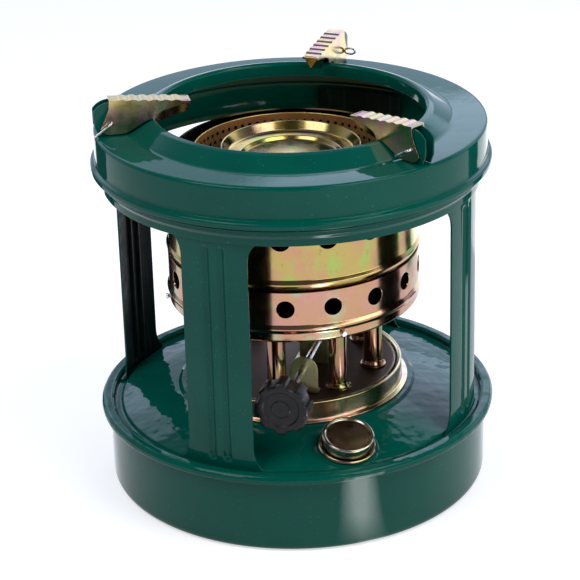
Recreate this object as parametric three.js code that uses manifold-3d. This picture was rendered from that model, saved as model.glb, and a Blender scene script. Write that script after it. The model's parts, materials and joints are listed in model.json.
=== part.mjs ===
// Kerosene wick stove with eight wicks: fuel tank, four legs, hob ring with three
// folding pot supports, lift-off burner drum and a rack-and-pinion wick control.
// Millimetres, +Z up, origin at the centre of the tank's base, front window toward -Y.
// An azimuth runs from the front, -Y, toward +X.

import * as THREE from 'three';
import { mergeVertices } from 'three/addons/utils/BufferGeometryUtils.js';
import Module from 'manifold-3d';

const wasm = await Module();
wasm.setup();

// Stock, fits and facet counts
const sheet = 1;
const platedSheet = 0.8;
const gap = 0.3;
const overrun = 2;
const cutterLength = 8;
const mergeDistance = 0.0001;
const ringSides = 32;
const drumSides = 34;
const traySides = 24;
const innerSides = 20;
const neckSides = 14;
const tubeSides = 8;
const wickSides = 6;
const pinSides = 6;
const holeSides = 8;
const arcSteps = 6;
const miterShare = 0.35;

// A faceted circle's flats lie inside its corners by this share of its radius
const ringFlatShare = Math.cos(Math.PI / ringSides);
const drumFlatShare = Math.cos(Math.PI / drumSides);

// Wick tubes, in a circle round the rack. The circle sets every radius outside it.
const wickCount = 8;
const firstWickAzimuth = THREE.MathUtils.degToRad(10);
const wickCircle = 45.6;
const tubeRadius = 5.3;
const tubeWall = 0.6;
const collarRadius = 7.4;
const collarThickness = 0.8;
const collarFlare = 3.2;
const wickRadius = 4;
const wickBottom = 3;
const tubeBelowSeat = 11;
const tubeAboveGallery = 5;
const wickAboveTube = 3;

// Fuel tank
const tankHeight = 48.5;
const tankCorner = 4;
const seamOverhang = 4.8;
const seamDepth = 5;
const seamRounding = 1.2;
const seamWallWidth = 1;
const channelDepth = 4.2;
const channelWidth = 4.2;
const domeEdgeRise = 1.9;
const seatRise = 6.5;
const seatMargin = 2.5;
const seatDrop = 1.3;
const seatRun = 1.8;
const domeSteps = 2;
const domePowerShare = 1.3;
const openingInset = 4;

// Filler neck, cap and gasket
const fillerAzimuth = THREE.MathUtils.degToRad(-3);
const fillerInset = 20;
const fillerTilt = THREE.MathUtils.degToRad(14.5);
const fillerDrop = 4;
const fillerSeatMargin = 1.4;
const fillerSeatDepth = 3;
const neckRadius = 11;
const neckWall = 1.2;
const neckHeight = 4;
const neckDepth = 8;
const neckFlangeWidth = 5.2;
const neckFlangeThickness = 1.2;
const neckFlangeBead = 0.9;
const neckFlangeBeadWidth = 1.8;
const capWidth = 3.5;
const capRoll = 1.1;
const capSkirtInset = 0.7;
const capDish = 0.7;
const capPlay = 0.5;
const gasketThickness = 1.4;
const gasketWidth = 2.4;

// Legs and stand band
const legCount = 4;
const firstLegAzimuth = THREE.MathUtils.degToRad(45);
const legHalfWidth = 19.4;
const legPlateMargin = 7.1;
const legFootMargin = 4.6;
const legFootFlange = 1.7;
const legFilletHeight = 12;
const legFootFilletHeight = 11;
const legFootFilletShare = 0.4;
const legPlateHeight = 16;
const legGrooveOffset = 5.2;
const legGrooveHalfWidth = 3.1;
const legGrooveDepth = 1.2;
const legGrooveBelowBand = 3;
const legGrooveAboveFoot = 11.4;
const legGrooveRunOut = 3.5;
const standRise = 131.5;
const bandStraight = 4.2;
const bandFlare = 1.5;
const bandFlareHeight = 2;
const bandLedgeHeight = 4;
const bandLedge = 2.9;
const bandAboveLedge = 7.8;

// Hob ring
const drumClearance = 3.6;
const lipRoll = 1.8;
const lipWidth = 4.5;
const lipRise = 7.2;
const lipRounding = 1.5;
const lipShoulderDrop = 0.7;
const lipSkirt = 8;
const slopeWidth = 15;
const ringFlatWidth = 19.3;
const ringHeight = 23.6;
const ringEdgeRounding = 1.6;
const beadRise = 2.7;
const beadHeight = 4.4;
const beadGroove = 1.2;

// Pot supports, their lugs and split pins: each support's azimuth, and its turn from
// the line to the axis
const supportAzimuths = [20.2, 142.5, -99.4].map(THREE.MathUtils.degToRad);
const supportTurns = [2.4, -5, 0].map(THREE.MathUtils.degToRad);
const supportDroop = THREE.MathUtils.degToRad(5);
const pivotInset = 9.3;
const earRadius = 6.8;
const earClearance = 0.8;
const supportLength = 43.2;
const supportTop = 12.6;
const supportWidth = 9.6;
const supportRear = 1.7;
const supportSheet = 0.9;
const supportTipShares = [
  [1, 0.89], [0.86, 0.79], [0.73, 0.65], [0.64, 0.52], [0.59, 0.36],
];
const supportHeelShares = [0.19, -0.48];
const ribCount = 6;
const ribRise = 0.7;
const ribPitch = 6;
const ribStart = 3.5;
const ribSlope = 1.5;
const keelPlay = 0.8;
const keelDepthFront = 6.6;
const keelDepthRear = 13.6;
const lugOuter = 9.2;
const lugInner = 6;
const lugBaseOuter = 7;
const lugSheet = 1;
const lugWaist = 2;
const pinRadius = 0.9;
const pinHoleRadius = 1.5;
const pinEyeRadius = 1.7;
const pinEyeStretch = 1.9;
const pinLegLengths = [12, 12, 13];
const pinLegAngles = [-30, 215, 217].map(THREE.MathUtils.degToRad);
const pinLegSides = [-1, 1, 1];

// Burner tray and the gallery plate
const trayMargin = 10.1;
const trayFlangeWidth = 3.5;
const trayHeight = 12;
const trayRimWidth = 2;
const trayRimSlope = 3.5;
const galleryRise = 42;
const galleryOuterMargin = 6.1;
const galleryInnerMargin = 6.3;

// Wick control: shaft, pinion, rack and carrier
const shaftHeading = THREE.MathUtils.degToRad(35.3);
const shaftRise = 15.5;
const shaftOffset = 15.5;
const shaftRadius = 2;
const shaftRear = 9;
const pinionToothCount = 10;
const gearModule = 1.25;
const pinionWidth = 6;
const toothRootShare = 0.3;
const toothTipShare = 0.15;
const rackBack = 4.5;
const rackWidth = 5;
const rackAboveShaft = 8.5;
const rackLowerToothCount = 4;
const rackUpperToothCount = 1;
const carrierMargin = 4.4;
const carrierThickness = 1.2;
const carrierHeight = 26;
const carrierHoleRadius = 12;
const carrierBridgeWidth = 12;
const knobRadius = 15.5;
const knobDepth = 12;
const knobMiddle = 91;
const knobLobeCount = 8;
const lobeShare = 0.2;
const fluteShare = 0.24;
const fluteDepth = 1.5;
const knobRecessRadius = 10.3;
const knobBossRadius = 5;
const knobRecessDepth = 0.8;
const sleeveRadius = 5;
const sleeveLength = 9;
const sleeveSlot = 2.2;
const sleeveSlotDepth = 6;
const bearingInset = 14;
const bearingPlateWidth = 16;
const bearingPlateHeight = 22;
const bearingFoot = 6;
const guideReach = 5;
const guideHeight = 20;
const guideFoot = 4;
const guideBeyondShaft = 4.5;
const guideRib = 2;
const clipRadius = 4;
const clipThickness = 1.2;

// Burner drum
const flameOuterGap = 9;
const flameInnerGap = 7.4;
const drumChannel = 16.8;
const drumBottomCorner = 1.5;
const ridgeAboveBottom = 6.3;
const ridgeHeight = 4.2;
const ridgeRise = 1.2;
const lowerHoleRise = 20.3;
const lowerHoleRadius = 5;
const lowerHoleAzimuth = THREE.MathUtils.degToRad(-3.9);
const drumSeamRise = 30;
const drumLap = 4;
const upperRidgeAboveSeam = 2.7;
const upperRidgeHeight = 4;
const upperHoleAboveSeam = 29.9;
const upperHoleRadius = 5.8;
const upperHoleAzimuth = THREE.MathUtils.degToRad(-5.5);
const holeCount = 17;
const drumHeight = 87.7;
const drumTopCurl = 3.6;
const flameOuterAboveDrum = 1.5;
const flameInnerBelowDrum = 6;
const spreaderOverlap = 1.2;
const spreaderAboveDrum = 2.3;
const spreaderSkirt = 12;
const spreaderRimWidth = 4.2;
const spreaderDrop = 5;
const spreaderTierWidth = 8.2;
const spreaderDish = 2.6;
const spreaderHole = 4.2;
const drumPinAzimuths = [0.5, 122.5, -102.5].map(THREE.MathUtils.degToRad);
const drumPinRise = 3.7;
const drumPinRadius = 1.1;
const drumPinInside = 3.2;
const drumPinOutside = 1.8;
const drumPinHead = 2;

// Radii, from the wick circle outward to the rim of the tank
const flameOuterRadius = wickCircle + flameOuterGap;
const flameInnerRadius = wickCircle - flameInnerGap;
const drumRadius = flameOuterRadius + drumChannel;
const ringOpening = drumRadius + drumClearance;
const ringFlatRadius = ringOpening + slopeWidth;
const ringRadius = ringFlatRadius + ringFlatWidth;
const pivotRadius = ringRadius - pivotInset;
const bandShoulder = (ringRadius - sheet) * ringFlatShare - gap;
const bandOuter = bandShoulder - bandFlare;
const bandInner = bandOuter - sheet;
const legRadius = bandInner * ringFlatShare - gap;
const seamWallInner = (legRadius + legFootFlange + gap) / ringFlatShare;
const seamWallOuter = seamWallInner + seamWallWidth;
const panInner = seamWallOuter + gap;
const tankRadius = panInner + sheet;
const seamRadius = tankRadius + seamOverhang;
const trayWallRadius = wickCircle + tubeRadius + trayMargin;
const trayFlangeRadius = trayWallRadius + trayFlangeWidth;
const trayFloorRadius = trayWallRadius - trayRimSlope;
const seatRadius = trayFlangeRadius + seatMargin;

// Heights, from the tank's base up to the hob ring
const seamTop = tankHeight;
const seamBottom = seamTop - seamDepth;
const channelFloor = seamTop - channelDepth;
const seatTop = seamTop + seatRise;
const trayRimTop = seatTop + trayHeight;
const trayFloor = trayRimTop - trayRimWidth / 2;
const shaftHeight = trayFloor + shaftRise;
const galleryTop = trayFloor + galleryRise;
const tubeTop = galleryTop + tubeAboveGallery;
const wickTop = tubeTop + wickAboveTube;
const drumBottom = galleryTop + gap;
const drumSeam = drumBottom + drumSeamRise;
const drumTop = drumBottom + drumHeight;
const bandBottom = seamTop + standRise;
const bandFlareStart = bandBottom + bandStraight;
const bandFlareEnd = bandFlareStart + bandFlareHeight;
const bandLedgeTop = bandFlareEnd + bandLedgeHeight;
const bandTop = bandLedgeTop + bandAboveLedge;
const ringTop = bandLedgeTop + ringHeight;
const lipTop = ringTop + lipRise;

// Materials
const finish = (color, roughness, metalness) =>
  new THREE.MeshStandardMaterial({ color, roughness, metalness });
const greenEnamel = finish(0x1f5b50, 0.25, 0);
const zincPlate = finish(0xb49a6a, 0.3, 1);
const brightSteel = finish(0xb9bbbd, 0.3, 1);
const brass = finish(0xc09a5a, 0.35, 1);
const blackPlastic = finish(0x2a2b2d, 0.5, 0);
const blackRubber = finish(0x1c1c1c, 0.9, 0);
const cottonWick = finish(0xe4ddc8, 1, 0);

// One closed, outward-facing body from any closed geometry
function closedBody(geometry) {
  const bare = geometry.clone();
  for (const name of ['normal', 'uv']) bare.deleteAttribute(name);
  const merged = mergeVertices(bare, mergeDistance);
  const corner = merged.attributes.position;
  const kept = [];
  let volume = 0;
  for (let i = 0; i < merged.index.count; i += 3) {
    const [a, b, c] = [0, 1, 2].map((step) => merged.index.getX(i + step));
    if (a === b || b === c || c === a) continue;
    kept.push([a, b, c]);
    const [p, q, r] = [a, b, c].map((n) => new THREE.Vector3().fromBufferAttribute(corner, n));
    volume += p.dot(q.cross(r));
  }
  const faces = volume < 0 ? kept.map(([a, b, c]) => [a, c, b]) : kept;
  merged.setIndex(faces.flat());
  return merged;
}

function toSolid(geometry) {
  const body = closedBody(geometry);
  const vertProperties = new Float32Array(body.attributes.position.array);
  const triVerts = new Uint32Array(body.index.array);
  return new wasm.Manifold(new wasm.Mesh({ numProp: 3, vertProperties, triVerts }));
}

function toGeometry(solid) {
  const mesh = solid.getMesh();
  const geometry = new THREE.BufferGeometry();
  geometry.setAttribute('position', new THREE.BufferAttribute(mesh.vertProperties, mesh.numProp));
  geometry.setIndex(new THREE.BufferAttribute(mesh.triVerts, 1));
  return geometry;
}

function joined(...geometries) {
  return toGeometry(geometries.map(toSolid).reduce((whole, next) => whole.add(next)));
}

function cut(geometry, ...cutters) {
  return toGeometry(cutters.map(toSolid).reduce((left, tool) => left.subtract(tool), toSolid(geometry)));
}

// A profile of [radius, height] points turned about the Z axis
function revolve(profile, sides, start = 0) {
  const points = profile.map(([radius, height]) => new THREE.Vector2(radius, height));
  if (points[0].x > 0) points.push(points[0].clone());
  return new THREE.LatheGeometry(points, sides, start).rotateX(Math.PI / 2);
}

// The closed outline of a sheet that lies to the left of a line
function sheetOutline(line, thickness) {
  const corners = line.map(([x, y]) => new THREE.Vector2(x, y));
  const far = corners.map((corner, i) => {
    const before = corners[Math.max(i - 1, 0)];
    const after = corners[Math.min(i + 1, corners.length - 1)];
    const arriving = (i > 0 ? corner.clone().sub(before) : after.clone().sub(corner)).normalize();
    const leaving = (after === corner ? arriving.clone() : after.clone().sub(corner)).normalize();
    const side = new THREE.Vector2(-arriving.y, arriving.x);
    const normal = side.clone().add(new THREE.Vector2(-leaving.y, leaving.x)).normalize();
    return corner.clone().addScaledVector(normal, thickness / Math.max(normal.dot(side), miterShare));
  });
  return [...line, ...far.reverse().map((point) => [point.x, point.y])];
}

function rod(radius, length, sides) {
  return new THREE.CylinderGeometry(radius, radius, length, sides).rotateX(Math.PI / 2);
}

// A cylinder that points outward from the axis at an azimuth
function radialRod(radius, length, reach, height, azimuth, sides) {
  const bar = new THREE.CylinderGeometry(radius, radius, length, sides);
  return bar.translate(0, -reach, height).rotateZ(azimuth);
}

function outline(points) {
  return new THREE.Shape(points.map(([x, y]) => new THREE.Vector2(x, y)));
}

function extruded(shape, depth) {
  return new THREE.ExtrudeGeometry(shape, { depth, bevelEnabled: false, steps: 1 });
}

// A side outline of [inward, up] points, as a plate of a width centred on local X
const sideways = new THREE.Matrix4().makeBasis(
  new THREE.Vector3(0, 1, 0), new THREE.Vector3(0, 0, 1), new THREE.Vector3(1, 0, 0));
function sidePlate(points, width, middle = 0) {
  return extruded(outline(points), width).translate(0, 0, middle - width / 2).applyMatrix4(sideways);
}

function arcPoints(radius, from, to, steps) {
  const points = [];
  for (let i = 0; i <= steps; i += 1) {
    const angle = from + ((to - from) * i) / steps;
    points.push([radius * Math.cos(angle), radius * Math.sin(angle)]);
  }
  return points;
}

// Groups: pieces placed at the origin, or in a frame turned to an azimuth
const stove = new THREE.Group();

function addPiece(name, geometry, material, parent = stove) {
  const piece = new THREE.Mesh(closedBody(geometry), material);
  piece.name = name;
  parent.add(piece);
  return piece;
}

function frameAt(azimuth, radius = 0, height = 0) {
  const frame = new THREE.Group();
  frame.position.set(radius * Math.sin(azimuth), -radius * Math.cos(azimuth), height);
  frame.rotation.z = azimuth;
  stove.add(frame);
  return frame;
}

// Fuel tank: a pan and a domed top, crimped together in the rim seam
const tankCornerMid = tankCorner * (1 - Math.SQRT1_2);
const panFlangeTop = (seamTop + seamBottom + sheet) / 2;
const panFlangeBottom = panFlangeTop - sheet;
const panFlangeRadius = seamRadius - sheet - gap;
const channelInner = seamWallInner - channelWidth;
const domeEdge = channelFloor + domeEdgeRise;
const domeEdgeRadius = channelInner - sheet;
const tankOpening = trayWallRadius - openingInset;
const fillerReach = seatRadius + fillerInset;
const fillerSeatHeight = seatTop - fillerDrop;
const neckFlangeRadius = neckRadius + neckFlangeWidth;
const fillerSeatRadius = neckFlangeRadius + fillerSeatMargin;

function tankPan() {
  return revolve([
    [0, 0],
    [tankRadius - tankCorner, 0],
    [tankRadius - tankCornerMid, tankCornerMid],
    [tankRadius, tankCorner],
    [tankRadius, panFlangeBottom],
    [panFlangeRadius, panFlangeBottom],
    [panFlangeRadius, panFlangeTop],
    [panInner, panFlangeTop],
    [panInner, tankCorner],
    [tankRadius - tankCorner, sheet],
    [0, sheet],
  ], ringSides);
}

const domeStartRadius = seatRadius + seatRun;
const domeStart = seatTop - seatDrop;

function domeHeight(radius) {
  const share = (radius - domeStartRadius) / (domeEdgeRadius - domeStartRadius);
  return domeStart - (domeStart - domeEdge) * share ** domePowerShare;
}

function domeLine() {
  const line = [];
  for (let i = 0; i <= domeSteps; i += 1) {
    const radius = domeStartRadius + ((domeEdgeRadius - domeStartRadius) * i) / domeSteps;
    line.push([radius, domeHeight(radius)]);
  }
  return line;
}

const fillerFrame = frameAt(fillerAzimuth, fillerReach, fillerSeatHeight);
fillerFrame.rotation.order = 'ZXY';
fillerFrame.rotation.x = fillerTilt;
fillerFrame.updateMatrix();

function tankTop() {
  const top = [
    [tankOpening, seatTop],
    [seatRadius, seatTop],
    ...domeLine(),
    [channelInner, channelFloor],
    [seamWallInner, channelFloor],
    [seamWallInner, seamTop - seamRounding],
    [seamWallOuter, seamTop],
    [seamRadius - seamRounding, seamTop],
    [seamRadius, seamTop - seamRounding],
    [seamRadius, seamBottom],
    [tankRadius + gap, seamBottom],
    [tankRadius + gap, panFlangeBottom - gap],
    [panFlangeRadius + gap, panFlangeBottom - gap],
    [panFlangeRadius + gap, panFlangeTop + gap],
    [seamWallOuter, panFlangeTop + gap],
    [seamWallOuter, channelFloor - sheet],
    [channelInner - sheet, channelFloor - sheet],
  ];
  const under = domeLine().reverse().map(([radius, height]) => [radius - sheet / 2, height - sheet]);
  const inside = [[seatRadius - sheet / 2, seatTop - sheet], [tankOpening, seatTop - sheet]];
  const shell = revolve([...top, ...under, ...inside], ringSides);
  const seat = rod(fillerSeatRadius, fillerSeatDepth, neckSides);
  seat.translate(0, 0, -fillerSeatDepth / 2 - gap);
  const hole = rod(neckRadius + gap, cutterLength * 2, neckSides);
  return cut(joined(shell, seat.applyMatrix4(fillerFrame.matrix)), hole.applyMatrix4(fillerFrame.matrix));
}

addPiece('tank_pan', tankPan(), greenEnamel);
addPiece('tank_top', tankTop(), greenEnamel);

// Filler neck, its screw cap and the cap's gasket, on a frame square to the dome
const capBore = neckRadius + capPlay;
const capRadius = neckRadius + capWidth;
const capFloor = neckHeight + neckFlangeThickness + gasketThickness + gap * 2;
const capHeight = capFloor + sheet;
const capSkirtBottom = neckFlangeThickness + neckFlangeBead + gap;

function fillerNeck() {
  return revolve([
    [neckRadius - neckWall, -neckDepth],
    [neckRadius, -neckDepth],
    [neckRadius, 0],
    [neckFlangeRadius - neckFlangeBead, 0],
    [neckFlangeRadius, neckFlangeThickness / 2],
    [neckFlangeRadius - neckFlangeBeadWidth / 2, neckFlangeThickness + neckFlangeBead],
    [neckFlangeRadius - neckFlangeBeadWidth, neckFlangeThickness],
    [neckRadius, neckFlangeThickness],
    [neckRadius, neckHeight + neckFlangeThickness],
    [neckRadius - neckWall, neckHeight + neckFlangeThickness],
  ], neckSides);
}

function fillerCap() {
  return revolve([
    [0, capFloor],
    [capBore, capFloor],
    [capBore, capSkirtBottom],
    [capRadius - capSkirtInset, capSkirtBottom],
    [capRadius - capSkirtInset, capHeight - capRoll],
    [capRadius, capHeight - capRoll / 2],
    [capRadius - capRoll / 2, capHeight + capDish],
    [capRadius - capRoll, capHeight],
    [0, capHeight],
  ], neckSides);
}

function capGasket() {
  const bottom = neckHeight + neckFlangeThickness + gap;
  return revolve([
    [neckRadius - gasketWidth, bottom],
    [neckRadius, bottom],
    [neckRadius, bottom + gasketThickness],
    [neckRadius - gasketWidth, bottom + gasketThickness],
  ], neckSides);
}

addPiece('filler_neck', fillerNeck(), zincPlate, fillerFrame);
addPiece('filler_cap', fillerCap(), zincPlate, fillerFrame);
addPiece('cap_gasket', capGasket(), blackRubber, fillerFrame);

// Legs: pressed strips bent to the stand's radius, with two grooves, a flanged foot
// in the tank's channel and a wider plate behind the stand band
const legFootBottom = channelFloor + gap;
const legFootReach = legRadius + legFootFlange;
const legTop = bandBottom + legPlateHeight;
const legGrooveTop = bandBottom - legGrooveBelowBand;
const legGrooveBottom = legFootBottom + legGrooveAboveFoot;

function legHalfWidthAt(height) {
  const intoFillet = (height - (bandBottom - legFilletHeight)) / legFilletHeight;
  const intoFoot = (legFootBottom + legFootFilletHeight - height) / legFootFilletHeight;
  const flare = (share) => 1 - Math.sqrt(1 - Math.min(Math.max(share, 0), 1) ** 2);
  return legHalfWidth
    + legPlateMargin * flare(intoFillet)
    + legFootMargin * flare(intoFoot);
}

function leg() {
  const heights = [
    legFootBottom + legFootFilletHeight * legFootFilletShare,
    legGrooveBottom,
    legGrooveBottom + legGrooveRunOut,
    bandBottom - legFilletHeight,
    legGrooveTop - legGrooveRunOut,
    legGrooveTop,
    bandBottom,
    legTop,
  ];
  const rows = [
    { radius: legFootReach, height: legFootBottom },
    ...[legFootBottom, ...heights].map((height) => ({ radius: legRadius, height })),
  ];
  const groove = [-legGrooveHalfWidth, 0, legGrooveHalfWidth];
  const grooves = [-1, 1].flatMap((side) => groove.map((step) => side * legGrooveOffset + step));
  const across = [-legHalfWidth, ...grooves, legHalfWidth];
  const bottoms = [-legGrooveOffset, legGrooveOffset];
  const end = across.length + 1;
  // Past the strip's own width, the plate and the foot run on straight
  const pointAt = ({ radius, height }, column, inward, upward) => {
    const offset = across[Math.min(Math.max(column, 1), end - 1) - 1];
    const grooved = bottoms.includes(offset)
      && height > legGrooveBottom && height < legGrooveTop;
    const reach = radius - inward - (grooved ? legGrooveDepth : 0);
    const azimuth = offset / legRadius;
    const side = Number(column === end) - Number(column === 0);
    const flare = side * (legHalfWidthAt(height) - legHalfWidth);
    const heading = (side * (legHalfWidth + legPlateMargin / 2)) / legRadius;
    return [
      reach * Math.sin(azimuth) + flare * Math.cos(heading),
      flare * Math.sin(heading) - reach * Math.cos(azimuth),
      height + upward,
    ];
  };
  const columns = end + 1;
  const positions = [];
  for (const thickness of [0, sheet]) {
    rows.forEach((row, i) => {
      for (let column = 0; column < columns; column += 1) {
        positions.push(...pointAt(row, column, i > 0 ? thickness : 0, i < 2 ? sheet - thickness : 0));
      }
    });
  }
  const index = [];
  const id = (side, row, column) => (side * rows.length + row) * columns + column;
  const quad = (a, b, c, d) => index.push(a, b, c, a, c, d);
  for (let row = 0; row + 1 < rows.length; row += 1) {
    for (let column = 0; column < end; column += 1) {
      quad(id(0, row, column), id(0, row, column + 1), id(0, row + 1, column + 1), id(0, row + 1, column));
      quad(id(1, row + 1, column), id(1, row + 1, column + 1), id(1, row, column + 1), id(1, row, column));
    }
    quad(id(0, row + 1, 0), id(1, row + 1, 0), id(1, row, 0), id(0, row, 0));
    quad(id(0, row, end), id(1, row, end), id(1, row + 1, end), id(0, row + 1, end));
  }
  const last = rows.length - 1;
  for (let column = 0; column < end; column += 1) {
    quad(id(0, 0, column + 1), id(0, 0, column), id(1, 0, column), id(1, 0, column + 1));
    quad(id(0, last, column), id(0, last, column + 1), id(1, last, column + 1), id(1, last, column));
  }
  const geometry = new THREE.BufferGeometry();
  geometry.setAttribute('position', new THREE.Float32BufferAttribute(positions, 3));
  geometry.setIndex(index);
  return geometry;
}

for (let i = 0; i < legCount; i += 1) {
  addPiece(`leg_${i + 1}`, leg(), greenEnamel, frameAt(firstLegAzimuth + (i * 2 * Math.PI) / legCount));
}

// Stand band round the legs' plates, with the ledge that carries the hob ring
const bandLedgeRadius = bandShoulder + bandLedge;

function standBand() {
  return revolve([
    [bandInner, bandBottom],
    [bandOuter, bandBottom],
    [bandOuter, bandFlareStart],
    [bandShoulder, bandFlareEnd],
    [bandShoulder, bandLedgeTop - sheet],
    [bandLedgeRadius, bandLedgeTop - sheet],
    [bandLedgeRadius, bandLedgeTop],
    [bandShoulder, bandLedgeTop],
    [bandShoulder, bandTop],
    [bandShoulder - sheet, bandTop],
    [bandShoulder - sheet, bandFlareEnd],
    [bandInner, bandFlareStart],
  ], ringSides);
}

addPiece('stand_band', standBand(), greenEnamel);

// Hob ring: beaded skirt, flat rim, slope and rolled lip round the opening
const lipShoulderRadius = ringOpening + lipWidth;

function hobRing() {
  const beadRadius = ringRadius + beadRise;
  const beadBottom = bandLedgeTop + gap;
  const line = [
    [beadRadius - beadGroove, beadBottom],
    [beadRadius, beadBottom + beadHeight / 2],
    [ringRadius, beadBottom + beadHeight + beadGroove],
    [ringRadius, ringTop - ringEdgeRounding],
    [ringRadius - ringEdgeRounding, ringTop],
    [ringFlatRadius, ringTop],
    [lipShoulderRadius, lipTop - lipShoulderDrop],
    [ringOpening + lipRoll, lipTop],
    [ringOpening, lipTop - lipRounding],
    [ringOpening, lipTop - lipSkirt],
  ];
  return revolve(sheetOutline(line, sheet), ringSides);
}

addPiece('hob_ring', hobRing(), greenEnamel);

// Pot supports: channel arms with ribbed tops, round ears and a folded keel at the tip,
// resting on the hob ring's lip, which tilts each one a little about its pivot
const pivotHeight = ringTop + earClearance + earRadius;
const keelStart = pivotRadius - ringOpening * ringFlatShare + keelPlay;

function tilted([reach, height]) {
  const [cos, sin] = [Math.cos(supportDroop), Math.sin(supportDroop)];
  return [reach * cos - height * sin, height * cos + reach * sin];
}

function supportUnderside() {
  const seat = lipTop + gap - pivotHeight;
  return [
    ...supportTipShares.map(([reach, height]) => [reach * supportLength, height * supportTop]),
    tilted([pivotRadius - ringOpening, seat]),
    tilted([pivotRadius - lipShoulderRadius, seat]),
    [supportHeelShares[0] * supportLength, supportHeelShares[1] * supportTop],
  ];
}

function ribbedTop() {
  const line = [];
  for (let i = 0; i < ribCount; i += 1) {
    const start = ribStart + i * ribPitch;
    const crest = supportTop + ribRise;
    line.push([start, supportTop], [start + ribSlope, crest]);
    line.push([start + ribPitch / 2, crest], [start + ribPitch / 2 + ribSlope, supportTop]);
  }
  return line;
}

function potSupport() {
  const ear = arcPoints(earRadius, -Math.PI / 2, -Math.PI - Math.asin(supportRear / -earRadius), arcSteps);
  const cheeks = [
    ...ear.slice(0, -1),
    [-supportRear, Math.sqrt(earRadius ** 2 - supportRear ** 2)],
    [-supportRear, supportTop],
    ...ribbedTop(),
    [supportLength, supportTop],
    ...supportUnderside(),
  ];
  const under = supportTop - supportSheet;
  const hollow = [
    [-earRadius - overrun, -earRadius - overrun],
    [-earRadius - overrun, under],
    [supportLength + overrun, under],
    [supportLength + overrun, -earRadius - overrun],
  ];
  const channel = cut(
    sidePlate(cheeks, supportWidth),
    sidePlate(hollow, supportWidth - supportSheet * 2),
    rod(pinHoleRadius, supportWidth + overrun, pinSides).rotateY(Math.PI / 2));
  return joined(channel, keel());
}

// The tip's folded tongue: a V like a boat's bow under the top plate
function keelWedge(width, start, end, frontDepth, rearDepth) {
  const top = supportTop - supportSheet / 2;
  const corners = [
    [-width / 2, start, top], [width / 2, start, top], [0, start, top - rearDepth],
    [-width / 2, end, top], [width / 2, end, top], [0, end, top - frontDepth],
  ];
  const geometry = new THREE.BufferGeometry();
  geometry.setAttribute('position', new THREE.Float32BufferAttribute(corners.flat(), 3));
  geometry.setIndex([0, 1, 2, 3, 5, 4, 0, 3, 4, 0, 4, 1, 1, 4, 5, 1, 5, 2, 2, 5, 3, 2, 3, 0]);
  return geometry;
}

function keel() {
  const end = supportLength - supportSheet / 2;
  const wall = supportSheet * Math.SQRT2;
  return cut(
    keelWedge(supportWidth - supportSheet, keelStart, end, keelDepthFront, keelDepthRear),
    keelWedge(supportWidth - supportSheet - wall * 2, keelStart - overrun, end - supportSheet,
      keelDepthFront - wall, keelDepthRear - wall));
}

// Lugs: folded channels that stand on the hob ring inside each support
const lugBase = ringTop + gap - pivotHeight;
const lugArc = supportTop - supportSheet - gap;
const lugWidth = supportWidth - (supportSheet + gap) * 2;

function supportLug() {
  const head = arcPoints(lugArc, Math.acos(lugInner / lugArc), Math.acos(-lugOuter / lugArc), arcSteps);
  const cheek = [[lugInner, lugBase], ...head, [-lugOuter, -lugWaist], [-lugBaseOuter, lugBase]];
  const hollow = [
    [lugInner - lugSheet, lugBase - overrun], [lugInner - lugSheet, lugArc + overrun],
    [-lugArc - overrun, lugArc + overrun], [-lugArc - overrun, lugBase - overrun],
  ];
  return cut(
    sidePlate(cheek, lugWidth),
    sidePlate(hollow, lugWidth - lugSheet * 2),
    rod(pinHoleRadius, supportWidth, pinSides).rotateY(Math.PI / 2));
}

// Split pins: shank, long eye and one leg bent over the cheek
function splitPin(legAngle, legLength, legSide) {
  const reach = supportWidth / 2 + gap + pinRadius;
  const shank = rod(pinRadius, reach * 2, pinSides).rotateY(Math.PI / 2);
  const bent = new THREE.CylinderGeometry(pinRadius, pinRadius, legLength, pinSides);
  bent.rotateZ(-Math.PI / 2).translate(legLength / 2 - pinRadius, 0, 0).rotateZ(legAngle);
  bent.applyMatrix4(sideways).translate(legSide * reach, 0, 0);
  const eye = new THREE.TorusGeometry(pinEyeRadius, pinRadius * Math.SQRT1_2, pinSides, tubeSides);
  eye.scale(pinEyeStretch, 1, 1).rotateX(Math.PI / 2);
  eye.translate(-legSide * (reach + pinEyeRadius * pinEyeStretch - pinRadius), 0, 0);
  return joined(shank, bent, eye);
}

supportAzimuths.forEach((azimuth, i) => {
  const frame = frameAt(azimuth, pivotRadius, pivotHeight);
  frame.rotation.z += supportTurns[i];
  const pin = splitPin(pinLegAngles[i], pinLegLengths[i], pinLegSides[i]);
  addPiece(`support_lug_${i + 1}`, supportLug(), greenEnamel, frame);
  addPiece(`pot_support_${i + 1}`, potSupport(), zincPlate, frame).rotation.x = -supportDroop;
  addPiece(`split_pin_${i + 1}`, pin, brightSteel, frame);
});

// Burner tray: seat flange, wall, rolled rim and floor with tube holes and a rack slot
const trayBottom = seatTop + gap;
const shaftFrame = new THREE.Group();
shaftFrame.rotation.z = -shaftHeading;
shaftFrame.updateMatrix();
stove.add(shaftFrame);
const pitchRadius = (gearModule * pinionToothCount) / 2;
const rackPitchLine = shaftOffset - pitchRadius;

function wickPlaces() {
  const places = [];
  for (let i = 0; i < wickCount; i += 1) {
    const azimuth = firstWickAzimuth + (i * 2 * Math.PI) / wickCount;
    places.push([wickCircle * Math.sin(azimuth), -wickCircle * Math.cos(azimuth)]);
  }
  return places;
}

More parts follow.
